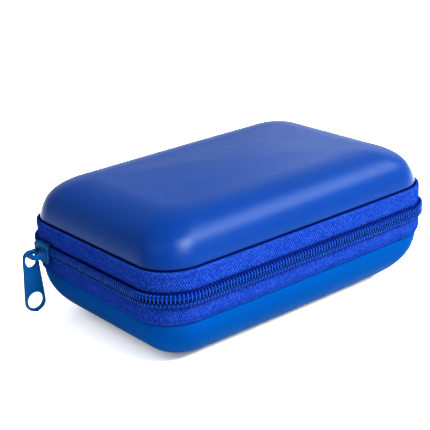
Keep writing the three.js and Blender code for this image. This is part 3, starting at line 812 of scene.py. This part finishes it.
filament_finish, thread_finish = nylon(), sewing_thread()
wind, sew_coil = coil_tree(filament_finish, thread_finish), thread_tree(thread_finish)
inner_edge = np.interp(chain_along, PARTED_FROM_END, INNER_EDGES)
outer_edge = np.interp(chain_along, PARTED_FROM_END, OUTER_EDGES)
turns = math.floor(chain_along[-1] / PITCH) - 1
for half, side, node, body in (("lid", 1, "upper_coil", "lid"), ("bowl", -1, "lower_coil", "base")):
    head_reach = inner_edge - side * MESH_DROP * (inner_edge < 0)
    far_edge = outer_edge - LOWER_COIL_SHORT * (side < 0)
    for made, tree, radius in (
        (f"{half}_coil", wind, FILAMENT), (f"{half}_coil_stitching", sew_coil, THREAD_RADIUS),
    ):
        path = line_round(made, chain_run, 0, CHAIN)
        store(path, reach=np.column_stack([head_reach, far_edge, 0 * inner_edge]),
              middle=(head_reach + far_edge) / 2 + CORE_FROM_MIDDLE)
        piece = grown(
            path, tree, made, Side=float(side), Turns=float(turns), Start=FIRST_TURN[side < 0],
            Pitch=PITCH, Radius=radius, Low=COIL_LOW, Top=COIL_TOP, Core=CORE_RADIUS,
        )
        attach(piece, body)
        if tree is wind:
            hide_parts(node)

# Rim seams. One row of small lock stitches in matching thread sews each tape to the cover behind
# it. The stitches pull into the cloth, so that they hardly show.
SEAM_HEIGHTS = {"lid": UPPER_RIM - 2, "bowl": LOWER_RIM + 2}
SEAM_OUT, SEAM_STITCH = 0.36, (2.7, 2.2, 0.14)


def stitch_tree(finish):
    """Rounded stitches, end to end along a line of points."""
    tree, (line, pitch, length, radius) = new_tree("stitches", "Pitch", "Length", "Radius")
    curve = add_node(tree, "GeometryNodeMeshToCurve", None, {"Mesh": line})
    row = add_node(tree, "GeometryNodeResampleCurve", {"mode": "LENGTH"},
                   {"Curve": curve, "Length": pitch * MM})
    bead = add_node(tree, "GeometryNodeMeshUVSphere", None,
                    {"Segments": 8, "Rings": 6, "Radius": MM})
    size = add_node(tree, "ShaderNodeCombineXYZ", None, {"X": length / 2, "Y": radius, "Z": radius})
    turned = add_node(tree, "FunctionNodeAlignRotationToVector", {"axis": "X"},
                      {"Vector": add_node(tree, "GeometryNodeInputTangent")})
    stitches = add_node(tree, "GeometryNodeInstanceOnPoints", None, {
        "Points": row, "Instance": bead, "Rotation": turned, "Scale": size,
    })
    return end_tree(tree, (stitches, finish))


def stitched(name, stations, out, height, stitch):
    """A row of stitches on a line round the case, each with a pitch, a length and a radius."""
    pitch, length, radius = stitch
    row = line_round(name, stations, out, height)
    return grown(row, sew, name, Pitch=pitch, Length=length, Radius=radius)


sew = stitch_tree(thread_finish)
for half, body, node in (
    ("lid", "lid", "upper_seam_thread"), ("bowl", "base", "lower_seam_thread"),
):
    seam = stitched(f"{half}_rim_seam", chain_run, SEAM_OUT, SEAM_HEIGHTS[half], SEAM_STITCH)
    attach(seam, body)
    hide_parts(node)

# Foam walls. Sheets of dense closed-cell foam are pressed hot between the cover and the lining,
# and give each half its stiffness.
FOAM_DEPTH, FOAM_THICKNESS = 1.0, 2.8
FOAM_GREY, FOAM_CELL = (0.012, 0.012, 0.014, 1), (0.004, 0.004, 0.005, 1)


def moulded_foam():
    foam = Finish("moulded foam")
    cells = foam.node("ShaderNodeTexVoronoi", {"feature": "SMOOTH_F1"},
                      {"Vector": foam.place, "Scale": 2200, "Smoothness": 0.3}, "Distance")
    skin = foam.noise(6, detail=3)
    return foam.set(
        Base_Color=foam.mix(cells * 1.2 + 0.3 * skin, FOAM_CELL, FOAM_GREY),
        Roughness=0.82 + 0.12 * skin, Specular_IOR_Level=0.25,
        Normal=foam.relief(cells, 0.08, 0.7),
    )


foam_finish = moulded_foam()
for half, profile, crown, rise, node, body in (
    ("lid", lid_profile, HEIGHT, CROWN_RISE, "upper_foam_shell", "lid"),
    ("bowl", bowl_profile, 0, 0, "lower_foam_shell", "base"),
):
    foam = shell_layer(f"{half}_foam", profile, crown, FOAM_DEPTH, FOAM_THICKNESS, rise)
    foam.data.materials.append(foam_finish)
    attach(foam, body)
    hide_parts(node)

# Linings. Brushed knitted nylon in charcoal is pressed onto the inner face of the foam, and its
# edge runs under the binding.
LINING_DEPTH, LINING_THICKNESS = 4.1, 0.5
KNIT_WALE, KNIT_COURSE = 1.1, 0.8
LID_LINING_CUT, BOWL_LINING_CUT = (0.118, 0.166, 0.019), (0.122, 0.17, 0.0201)
KNIT_LIGHT, KNIT_DARK = (0.013, 0.014, 0.018, 1), (0.003, 0.0034, 0.0048, 1)


def brushed_knit():
    knit = Finish("brushed knit")
    x, y, z = (number / MM for number in numbers_in(knit.tree, knit.place))
    drop = y + z
    chevron = abs((x / KNIT_WALE) % 1 - 0.5)
    loops = ((drop / KNIT_COURSE + chevron * 1.1) * math.tau).sine() * 0.5 + 0.5
    wale = 1 - chevron * 1.2
    fuzz = knit.noise(0.5, detail=4, roughness=0.7)
    nap = knit.noise(14, detail=2, stretch=(0.5, 1, 1))
    height = loops * wale * 0.6 + fuzz * 0.4
    return knit.set(
        Base_Color=knit.mix(height * 0.7 + nap * 0.4, KNIT_DARK, KNIT_LIGHT),
        Roughness=0.86 + 0.1 * fuzz, Specular_IOR_Level=0.08,
        Sheen_Weight=0.12, Sheen_Roughness=0.45, Sheen_Tint=(0.6, 0.65, 0.8, 1),
        Normal=knit.relief(height, 0.12, 0.8),
    )


knit_finish = brushed_knit()
for half, profile, crown, rise, node, body, (width, length, area) in (
    ("lid", lid_profile, HEIGHT, CROWN_RISE, "upper_lining", "lid", LID_LINING_CUT),
    ("bowl", bowl_profile, 0, 0, "lower_lining", "base", BOWL_LINING_CUT),
):
    lining = shell_layer(f"{half}_lining", profile, crown, LINING_DEPTH, LINING_THICKNESS, rise)
    lining.data.materials.append(knit_finish)
    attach(lining, body)
    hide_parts(node)

# Edge bindings. A ribbed tape is folded over the raw edge of each shell's layers and sewn
# through, with its hem a little way up the lining.
BINDING_OUTER, BINDING_LEG_IN, BINDING_LEG_OUT = 1.0, 6.4, 5.9
BINDING_SEAT_GAP, BINDING_SEAT, BINDING_LEG = 0.3, 0.9, 3.8
BINDING_ROUND, BINDING_RIB, BINDING_PICK = 0.28, 0.7, 0.45
BINDING_LENGTH, BINDING_WIDTH, BINDING_ROW = 0.44, 0.01, 1.2
HEM_SEWN_UNDER, HEM_SEWN_PROUD, SEAT_SEWN_IN, BINDING_STITCH = 0.9, 0.04, 3.6, (2.9, 2.3, 0.17)
BINDING_BLUE, BINDING_SHADE = (0.002, 0.025, 0.12, 1), (0, 0.007, 0.045, 1)


def ribbed_tape():
    ribbon = Finish("ribbed binding tape")
    u, v = ribbon.along_and_across()
    ribs = (u / BINDING_RIB * math.tau).sine() * 0.5 + 0.5
    picks = (v / BINDING_PICK * math.tau).sine() * 0.5 + 0.5
    worn = ribbon.noise(4, detail=3)
    height = ribs * 0.75 + picks * 0.25
    return ribbon.set(
        Base_Color=ribbon.mix(height * 0.8 + worn * 0.3, BINDING_SHADE, BINDING_BLUE),
        Roughness=0.7 + 0.15 * worn, Specular_IOR_Level=0.08,
        Sheen_Weight=0.06, Sheen_Tint=(0.4, 0.5, 1, 1),
        Normal=ribbon.relief(height, 0.12, 0.8),
    )


def rounded(section, radius, steps=3):
    """A closed section with each of its corners rounded off."""
    soft, section = [], np.array(section, float)
    for i, point in enumerate(section):
        before, after = section[i - 1] - point, section[(i + 1) % len(section)] - point
        for t in np.linspace(0, 1, steps + 1):
            a = before / np.linalg.norm(before) * min(radius, np.linalg.norm(before) * 0.49)
            b = after / np.linalg.norm(after) * min(radius, np.linalg.norm(after) * 0.49)
            soft.append(point + a * (1 - t) ** 2 + b * t**2)
    return np.array(soft)


ribbon_finish = ribbed_tape()
ring, ring_along = evenly(np.vstack([WHOLE_RING, WHOLE_RING[:1]]), BINDING_ROW)
for half, side, edge, node, body in (
    ("lid", 1, LID_EDGE, "upper_edge_binding", "lid"),
    ("bowl", -1, BOWL_EDGE, "lower_edge_binding", "base"),
):
    seat = edge - side * BINDING_SEAT_GAP
    bottom, hem = seat - side * BINDING_SEAT, seat + side * BINDING_LEG
    cut = rounded([
        (BINDING_OUTER, bottom), (BINDING_LEG_IN, bottom), (BINDING_LEG_IN, hem),
        (BINDING_LEG_OUT, hem), (BINDING_LEG_OUT, seat), (BINDING_OUTER, seat),
    ], BINDING_ROUND)
    binding = lofted(f"{half}_edge_binding", swept(ring[:-1], cut), None, ring_along, around(cut))
    binding.data.materials.append(ribbon_finish)
    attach(binding, body)
    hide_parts(node)
    for place, inset, height in (
        ("hem", BINDING_LEG_IN + HEM_SEWN_PROUD, hem - side * HEM_SEWN_UNDER),
        ("seat", SEAT_SEWN_IN, bottom),
    ):
        row = stitched(f"{half}_binding_{place}_stitches", ring, -inset, height, BINDING_STITCH)
        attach(row, body)

# Spine. A strip of coated woven cloth is sewn along the back of both halves. It is the hinge,
# and bends along its middle. A strip of the lining covers it inside.
SPINE_END, SPINE_LENGTH, SPINE_ROW, SPINE_UNSEWN = 71.5, 0.127, 1.0, 4
STRIP_ROWS, FOLD_HALF, FOLD_BEHIND, EDGE_THINNER, EDGE_REACH = 45, 0.9, 0.3, 0.35, 0.25
SPINE_FACE, SPINE_THICKNESS, SPINE_FOLD = -0.05, 0.7, 0.3
INNER_FACE, INNER_THICKNESS, INNER_FOLD, INNER_LOW, INNER_HIGH = 1.0, 0.5, 0.2, 29.0, 38.0
SPINE_BLUE, SPINE_SHADE = (0.002, 0.04, 0.165, 1), (0, 0.018, 0.085, 1)
BASKET = 0.55
SPINE_STITCH_OUT, SPINE_STITCH_IN, SPINE_STITCH = 0.14, (1.4, 3.6), (2.7, 2.2, 0.22)


def coated_weave():
    canvas = Finish("coated weave")
    warp, weft = ((mm / BASKET * math.tau).sine() for mm in canvas.along_and_across())
    basket = warp * weft * 0.5 + 0.5
    rub = canvas.noise(6, detail=4)
    crease = canvas.noise(2.4, detail=3, stretch=(0.12, 1, 1))
    return canvas.set(
        Base_Color=canvas.mix(basket * 0.5 + rub * 0.5, SPINE_SHADE, SPINE_BLUE),
        Roughness=0.5 + 0.2 * rub, Specular_IOR_Level=0.08,
        Normal=canvas.relief(basket, 0.07, 0.8, canvas.relief(crease, 0.4, 0.8)),
    )


def hinge_strip(name, run, along, outer, thickness, low, high, crease, finish):
    """A strip of cloth across the hinge, with two faces of close rows."""
    height = np.linspace(low, high, STRIP_ROWS)
    fold = crease * np.exp(-(((height - CHAIN) / FOLD_HALF) ** 2))
    from_edge = np.minimum(height - low, high - height)
    edge = EDGE_THINNER * thickness * np.exp(-from_edge / EDGE_REACH)
    face = np.stack([outer + fold + edge, height], 1)
    reverse = np.stack([outer + thickness + FOLD_BEHIND * fold - edge, height], 1)[::-1]
    cut = np.vstack([face, reverse])
    rows = swept(run, cut)
    strip = lofted(name, rows, rows[[0, -1]].mean(1), along, around(cut))
    strip.data.materials.append(finish)
    return strip


def bend_at_spine(piece):
    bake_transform(piece)


spine_run, spine_along = evenly(np.vstack([
    corner(3, SPINE_END, 90), long_side(1, 80), corner(0, 0, 90 - SPINE_END),
]), SPINE_ROW)
spine = hinge_strip("spine_cloth", spine_run, spine_along, SPINE_FACE, SPINE_THICKNESS,
                    LOWER_RIM, UPPER_RIM, SPINE_FOLD, coated_weave())
spine_inside = hinge_strip("spine_inner_cloth", spine_run, spine_along, INNER_FACE,
                           INNER_THICKNESS, INNER_LOW, INNER_HIGH, INNER_FOLD, knit_finish)
for strip, node, slot, width, on in (
    (spine, "spine_fabric", "spine", 0.022, ["lid_cover", "bowl_cover"]),
    (spine_inside, "spine_lining", "lining", 0.01, ["spine_cloth"]),
):
    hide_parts(node)
    bend_at_spine(strip)
for half, body, edge, inward in (("lid", "lid", UPPER_RIM, -1), ("bowl", "base", LOWER_RIM, 1)):
    for number, from_edge in enumerate(SPINE_STITCH_IN, 1):
        row = stitched(f"{half}_spine_stitches_{number}", spine_run[SPINE_UNSEWN:-SPINE_UNSEWN],
                       SPINE_STITCH_OUT, edge + inward * from_edge, SPINE_STITCH)
        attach(row, body)

# Patches over the ends of the zip. A tab of the cover's cloth, sewn down all round, hides the
# cut ends of the tapes at each back corner and stops the slider.
PATCH_OUT, PATCH_THICKNESS, PATCH_MARGIN, PATCH_FOLD = 0.3, 0.6, 1.0, 0.2
PATCH_FROM, PATCH_TO, PATCH_ROW, PATCH_CUT = 50, 88, 0.4, (0.0125, 0.02)
PATCH_UNSEWN, PATCH_END_POINTS = 3, 30
PATCH_STITCH_IN, PATCH_STITCH_OUT, PATCH_STITCH = 1.1, 0.1, (2.3, 1.8, 0.22)

for side, quadrant in (("left", 0), ("right", 3)):
    first, last = (90 - PATCH_TO, 90 - PATCH_FROM) if quadrant == 0 else (PATCH_FROM, PATCH_TO)
    run, along = evenly(corner(quadrant, first, last), PATCH_ROW)
    patch = hinge_strip(
        f"zip_end_patch_cloth_{side}", run, along, -PATCH_OUT - PATCH_THICKNESS, PATCH_THICKNESS,
        LOWER_RIM + PATCH_MARGIN, UPPER_RIM - PATCH_MARGIN, PATCH_FOLD, cover_finish,
    )
    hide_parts(f"zip_end_patch_{side}")
    bend_at_spine(patch)
    low = LOWER_RIM + PATCH_MARGIN + PATCH_STITCH_IN
    high = UPPER_RIM - PATCH_MARGIN - PATCH_STITCH_IN
    sewn, rise = run[PATCH_UNSEWN:-PATCH_UNSEWN], np.linspace(low, high, PATCH_END_POINTS)
    ends = [np.repeat(end, PATCH_END_POINTS, 0) for end in (sewn[-1:], sewn[:1])]
    loop = np.vstack([sewn, ends[0], sewn[::-1], ends[1]])
    heights = np.concatenate([np.full(len(sewn), low), rise, np.full(len(sewn), high), rise[::-1]])
    row = stitched(f"zip_end_patch_stitches_{side}", loop,
                   PATCH_OUT + PATCH_THICKNESS + PATCH_STITCH_OUT, heights, PATCH_STITCH)
    bend_at_spine(row)

# Slider. A small zinc casting with an inner and an outer plate round the chain, joined by the
# wedge that parts the coils, with a bail for the pull. It is sprayed blue and baked.
SLIDER_AT = (-75, 31.8, CHAIN)
SLIDER_LENGTH, PLATE, PLATE_ROUND = 10.6, 1.1, 1.6
TAIL_HALF, SHOULDER_HALF, CHANNEL_HALF = 3.95, 4.2, 3.2
OUTER_PLATE_IN, INNER_PLATE_OUT, WEDGE_OUT, NECK_OVERLAP = 2.25, 1.35, 0.5, 0.4
WEDGE_NOSE, WEDGE_HEEL, WEDGE_NOSE_HALF, WEDGE_HEEL_HALF, NECK_HALF = 2.6, 0.1, 0.2, 0.9, 0.3
FLANGE_LAP, FLANGE_OUT, BAIL_ROOT = 0.2, 0.5, 0.3
BAIL_OUT, BAIL_BAR, BAIL_HALF_LENGTH, BAIL_HALF_HEIGHT, BAIL_LEG = 9.25, 1.4, 4.3, 1.1, 1.2
BAIL_BEND = 2.5
CAST_VOXEL, CAST_SOFTEN = 0.14, 7
PAINT_BLUE, PAINT_DEEP = (0, 0.035, 0.1, 1), (0, 0.026, 0.078, 1)
PAINT_WORN, WORN_FROM, WORN_SHARPNESS = (0.012, 0.08, 0.2, 1), 0.515, 14


def cast_plate(mesh, shape, low, high, axis):
    """Adds a closed plate to a mesh: a flat outline in mm, pulled along an axis."""
    others = [k for k in range(3) if k != axis]
    rings = []
    for level in (low, high):
        ring = []
        for a, b in shape:
            spot = [0, 0, 0]
            spot[others[0]], spot[others[1]], spot[axis] = a, b, level
            ring.append(mesh.verts.new(spot))
        rings.append(ring)
    count = len(shape)
    mesh.faces.new(rings[0])
    mesh.faces.new(rings[1][::-1])
    for i in range(count):
        j = (i + 1) % count
        mesh.faces.new((rings[0][i], rings[1][i], rings[1][j], rings[0][j]))


def plate_shape():
    """The slider's plate, along the track and across it, narrow at the tail."""
    half = SLIDER_LENGTH / 2
    return rounded([
        (-half, -TAIL_HALF), (half, -SHOULDER_HALF), (half, SHOULDER_HALF), (-half, TAIL_HALF),
    ], PLATE_ROUND, 5)


def wedge_shape(nose_half, heel_half):
    """The cut of the slider's wedge, or of its neck, from its nose to its heel, which stands
    between the shoulders."""
    nose, heel = SLIDER_LENGTH / 2 - WEDGE_NOSE, SLIDER_LENGTH / 2 - WEDGE_HEEL
    return [(nose, -nose_half), (heel, -heel_half), (heel, heel_half), (nose, nose_half)]


def bail_bend(out, half_length, radius, steps=7):
    """The bend of the bail from a leg to its bar, and the same bend back to the other leg."""
    turn = np.linspace(0, math.pi / 2, steps)
    bend = np.stack([radius * (1 - np.sin(turn)) - out,
                     half_length - radius * (1 - np.cos(turn))], 1)
    return np.vstack([bend, (bend * (1, -1))[::-1]])


def painted_metal():
    paint = Finish("baked paint on zinc")
    edge = paint.node("ShaderNodeNewGeometry", output="Pointiness")
    rubbed = paint.noise(1.6, detail=4, roughness=0.65)
    orange_peel = paint.noise(0.8, detail=1)
    worn = ((edge - WORN_FROM) * WORN_SHARPNESS).at_least(0).at_most(1) * (rubbed * 1.4)
    deep = paint.mix(rubbed, PAINT_DEEP, PAINT_BLUE)
    return paint.set(
        Base_Color=paint.mix((worn * 0.8).at_most(1), deep, PAINT_WORN),
        Roughness=0.42 + 0.16 * rubbed, Specular_IOR_Level=0.05,
        Normal=paint.relief(orange_peel, 0.03, 0.5),
    )


def cast_piece(name, mesh, at, finish):
    """Fuses the plates of a casting into one skin with soft edges and puts it in its place."""
    bmesh.ops.recalc_face_normals(mesh, faces=mesh.faces)
    block = bpy.data.meshes.new(name)
    mesh.to_mesh(block)
    mesh.free()
    piece = placed(name, block)
    fuse = piece.modifiers.new("fuse", "REMESH")
    fuse.mode, fuse.voxel_size, fuse.use_smooth_shade = "VOXEL", CAST_VOXEL, True
    ease = piece.modifiers.new("ease", "SMOOTH")
    ease.factor, ease.iterations = 0.5, CAST_SOFTEN
    fused = plain_mesh(piece)
    piece.modifiers.clear()
    piece.data = fused
    fused.transform(Matrix.Scale(MM, 4) @ Matrix.Translation(at))
    fused.materials.clear()
    fused.materials.append(finish)
    return piece


paint_finish = painted_metal()
casting = bmesh.new()
outer_plate, inner_plate = -OUTER_PLATE_IN, INNER_PLATE_OUT
cast_plate(casting, plate_shape(), outer_plate - PLATE, outer_plate, 0)
cast_plate(casting, plate_shape(), inner_plate, inner_plate + PLATE, 0)
cast_plate(casting, wedge_shape(WEDGE_NOSE_HALF, WEDGE_HEEL_HALF),
           outer_plate - PLATE / 2, -WEDGE_OUT, 0)
cast_plate(casting, wedge_shape(NECK_HALF, NECK_HALF),
           -WEDGE_OUT - NECK_OVERLAP, inner_plate + PLATE / 2, 0)
flange_end = SLIDER_LENGTH / 2 - PLATE_ROUND
for side in (1, -1):
    flange = [
        (-flange_end, side * CHANNEL_HALF), (flange_end, side * CHANNEL_HALF),
        (flange_end, side * SHOULDER_HALF), (-flange_end, side * TAIL_HALF),
    ]
    cast_plate(casting, flange, outer_plate - PLATE + FLANGE_LAP, -FLANGE_OUT, 0)
legs_in, leg_inside = outer_plate - PLATE + BAIL_ROOT, BAIL_HALF_LENGTH - BAIL_LEG
bail = np.vstack([
    (legs_in, BAIL_HALF_LENGTH), bail_bend(BAIL_OUT, BAIL_HALF_LENGTH, BAIL_BEND),
    (legs_in, -BAIL_HALF_LENGTH), (legs_in, -leg_inside),
    bail_bend(BAIL_OUT - BAIL_BAR, leg_inside, BAIL_BEND - BAIL_LEG)[::-1], (legs_in, leg_inside),
])
cast_plate(casting, bail, -BAIL_HALF_HEIGHT, BAIL_HALF_HEIGHT, 2)
slider = cast_piece("zip_slider", casting, SLIDER_AT, paint_finish)
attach(slider, "slider")
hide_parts("slider_body")

# Pull. A flat zinc casting hangs from the bail by its upper eye, with a large ring at its foot
# and a low raised border. It wears the same paint, rubbed thin along the border.
TAB_AT = (SLIDER_AT[0] - BAIL_OUT + BAIL_BAR / 2, SLIDER_AT[1], CHAIN)
TAB_LENGTH, TAB_THICKNESS, TAB_FACE = 27.4, 1.8, 1.4
TAB_TOP_HALF, TAB_FOOT_HALF, TAB_FOOT_ROUND, TAB_TOP = 3.4, 4.6, 4.2, 2.55
EYE_TOP, EYE_HALF_WIDTH, EYE_HEIGHT = 1.6, 2.6, 6.5
RING_HALF_WIDTH, RING_HEIGHT, RING_FLOOR = 3.8, 7.5, 1.0
BORDER, TAB_BEVEL, BORDER_BEVEL = 0.62, 0.28, 0.2
GATE_HALF, GATE_DROP, FLAT_FACE = 0.7, 0.45, 0.999


def bowed(start, first, second, end, steps=14):
    """Points on a Bezier curve, without its last one."""
    t = np.linspace(0, 1, steps, endpoint=False)[:, None]
    start, first, second, end = (np.array(p, float) for p in (start, first, second, end))
    return (start * (1 - t) ** 3 + 3 * first * t * (1 - t) ** 2
            + 3 * second * t**2 * (1 - t) + end * t**3)


def tab_outline():
    wide, narrow, top = TAB_FOOT_HALF, TAB_TOP_HALF, TAB_TOP
    foot = top - TAB_LENGTH
    turn, shoulder = foot + TAB_FOOT_ROUND, top - TAB_TOP_HALF
    up = np.linspace((wide, turn), (narrow, shoulder), 16, endpoint=False)
    back_down = np.linspace((-narrow, shoulder), (-wide, turn), 16, endpoint=False)
    left = bowed((-wide, turn), (-wide, foot + TAB_FOOT_ROUND / 3), (-wide / 2, foot), (0, foot))
    right = bowed((0, foot), (wide / 2, foot), (wide, foot + TAB_FOOT_ROUND / 3), (wide, turn))
    for half_foot in (left, right):
        half_foot[:, 1] -= GATE_DROP * np.exp(-((half_foot[:, 0] / GATE_HALF) ** 2))
    over = bowed((narrow, shoulder), (narrow, top - narrow / 3), (narrow / 2, top), (0, top))
    down = bowed((0, top), (-narrow / 2, top), (-narrow, top - narrow / 3), (-narrow, shoulder))
    return np.vstack([left, right, up, over, down, back_down])


def oval(top, height, half_width, steps=40):
    turn = np.linspace(0, math.tau, steps, endpoint=False)
    return np.stack([half_width * np.cos(turn), top - height / 2 * (1 - np.sin(turn))], 1)


def stepped_in(shape, by):
    """A closed outline moved in by a distance in mm."""
    ahead = np.roll(shape, -1, 0) - np.roll(shape, 1, 0)
    normal = np.stack([-ahead[:, 1], ahead[:, 0]], 1)
    return shape + by * normal / np.linalg.norm(normal, axis=1)[:, None]


def pierced_plate(name, shapes, thickness, bevel):
    """A flat plate with rounded edges: an outline, then the holes in it."""
    curve = bpy.data.curves.new(name, "CURVE")
    curve.dimensions, curve.fill_mode = "2D", "BOTH"
    curve.extrude, curve.bevel_depth = thickness / 2 - bevel, bevel
    curve.bevel_resolution, curve.offset = 3, -bevel
    for shape in shapes:
        line = curve.splines.new("POLY")
        line.points.add(len(shape) - 1)
        line.points.foreach_set("co", np.column_stack([shape, np.zeros(len(shape)),
                                                       np.ones(len(shape))]).ravel())
        line.use_cyclic_u = True
    flat = placed(name, curve)
    mesh = plain_mesh(flat)
    bpy.data.objects.remove(flat)
    return mesh


whole, eye = tab_outline(), oval(EYE_TOP, EYE_HEIGHT, EYE_HALF_WIDTH)
ring_top = TAB_TOP - TAB_LENGTH + RING_FLOOR + RING_HEIGHT
ring_hole = oval(ring_top, RING_HEIGHT, RING_HALF_WIDTH)
pull_mesh = bmesh.new()
pull_mesh.from_mesh(pierced_plate("face", [whole, eye, ring_hole], TAB_FACE, TAB_BEVEL))
pull_mesh.from_mesh(pierced_plate("border", [whole, stepped_in(whole, BORDER)], TAB_THICKNESS,
                                  BORDER_BEVEL))
upright = Matrix(((1, 0, 0, 0), (0, 0, -1, 0), (0, 1, 0, 0), (0, 0, 0, 1)))
bmesh.ops.remove_doubles(pull_mesh, verts=pull_mesh.verts, dist=0.001)
bmesh.ops.recalc_face_normals(pull_mesh, faces=pull_mesh.faces)
pull_mesh.transform(Matrix.Scale(MM, 4) @ Matrix.Translation(TAB_AT) @ upright)
for face in pull_mesh.faces:
    face.smooth = abs(face.normal.y) < FLAT_FACE
pull_data = bpy.data.meshes.new("zip_pull")
pull_mesh.to_mesh(pull_data)
pull_mesh.free()
pull = placed("zip_pull", pull_data)
pull_data.materials.append(paint_finish)
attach(pull, "tab")
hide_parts("pull_tab")
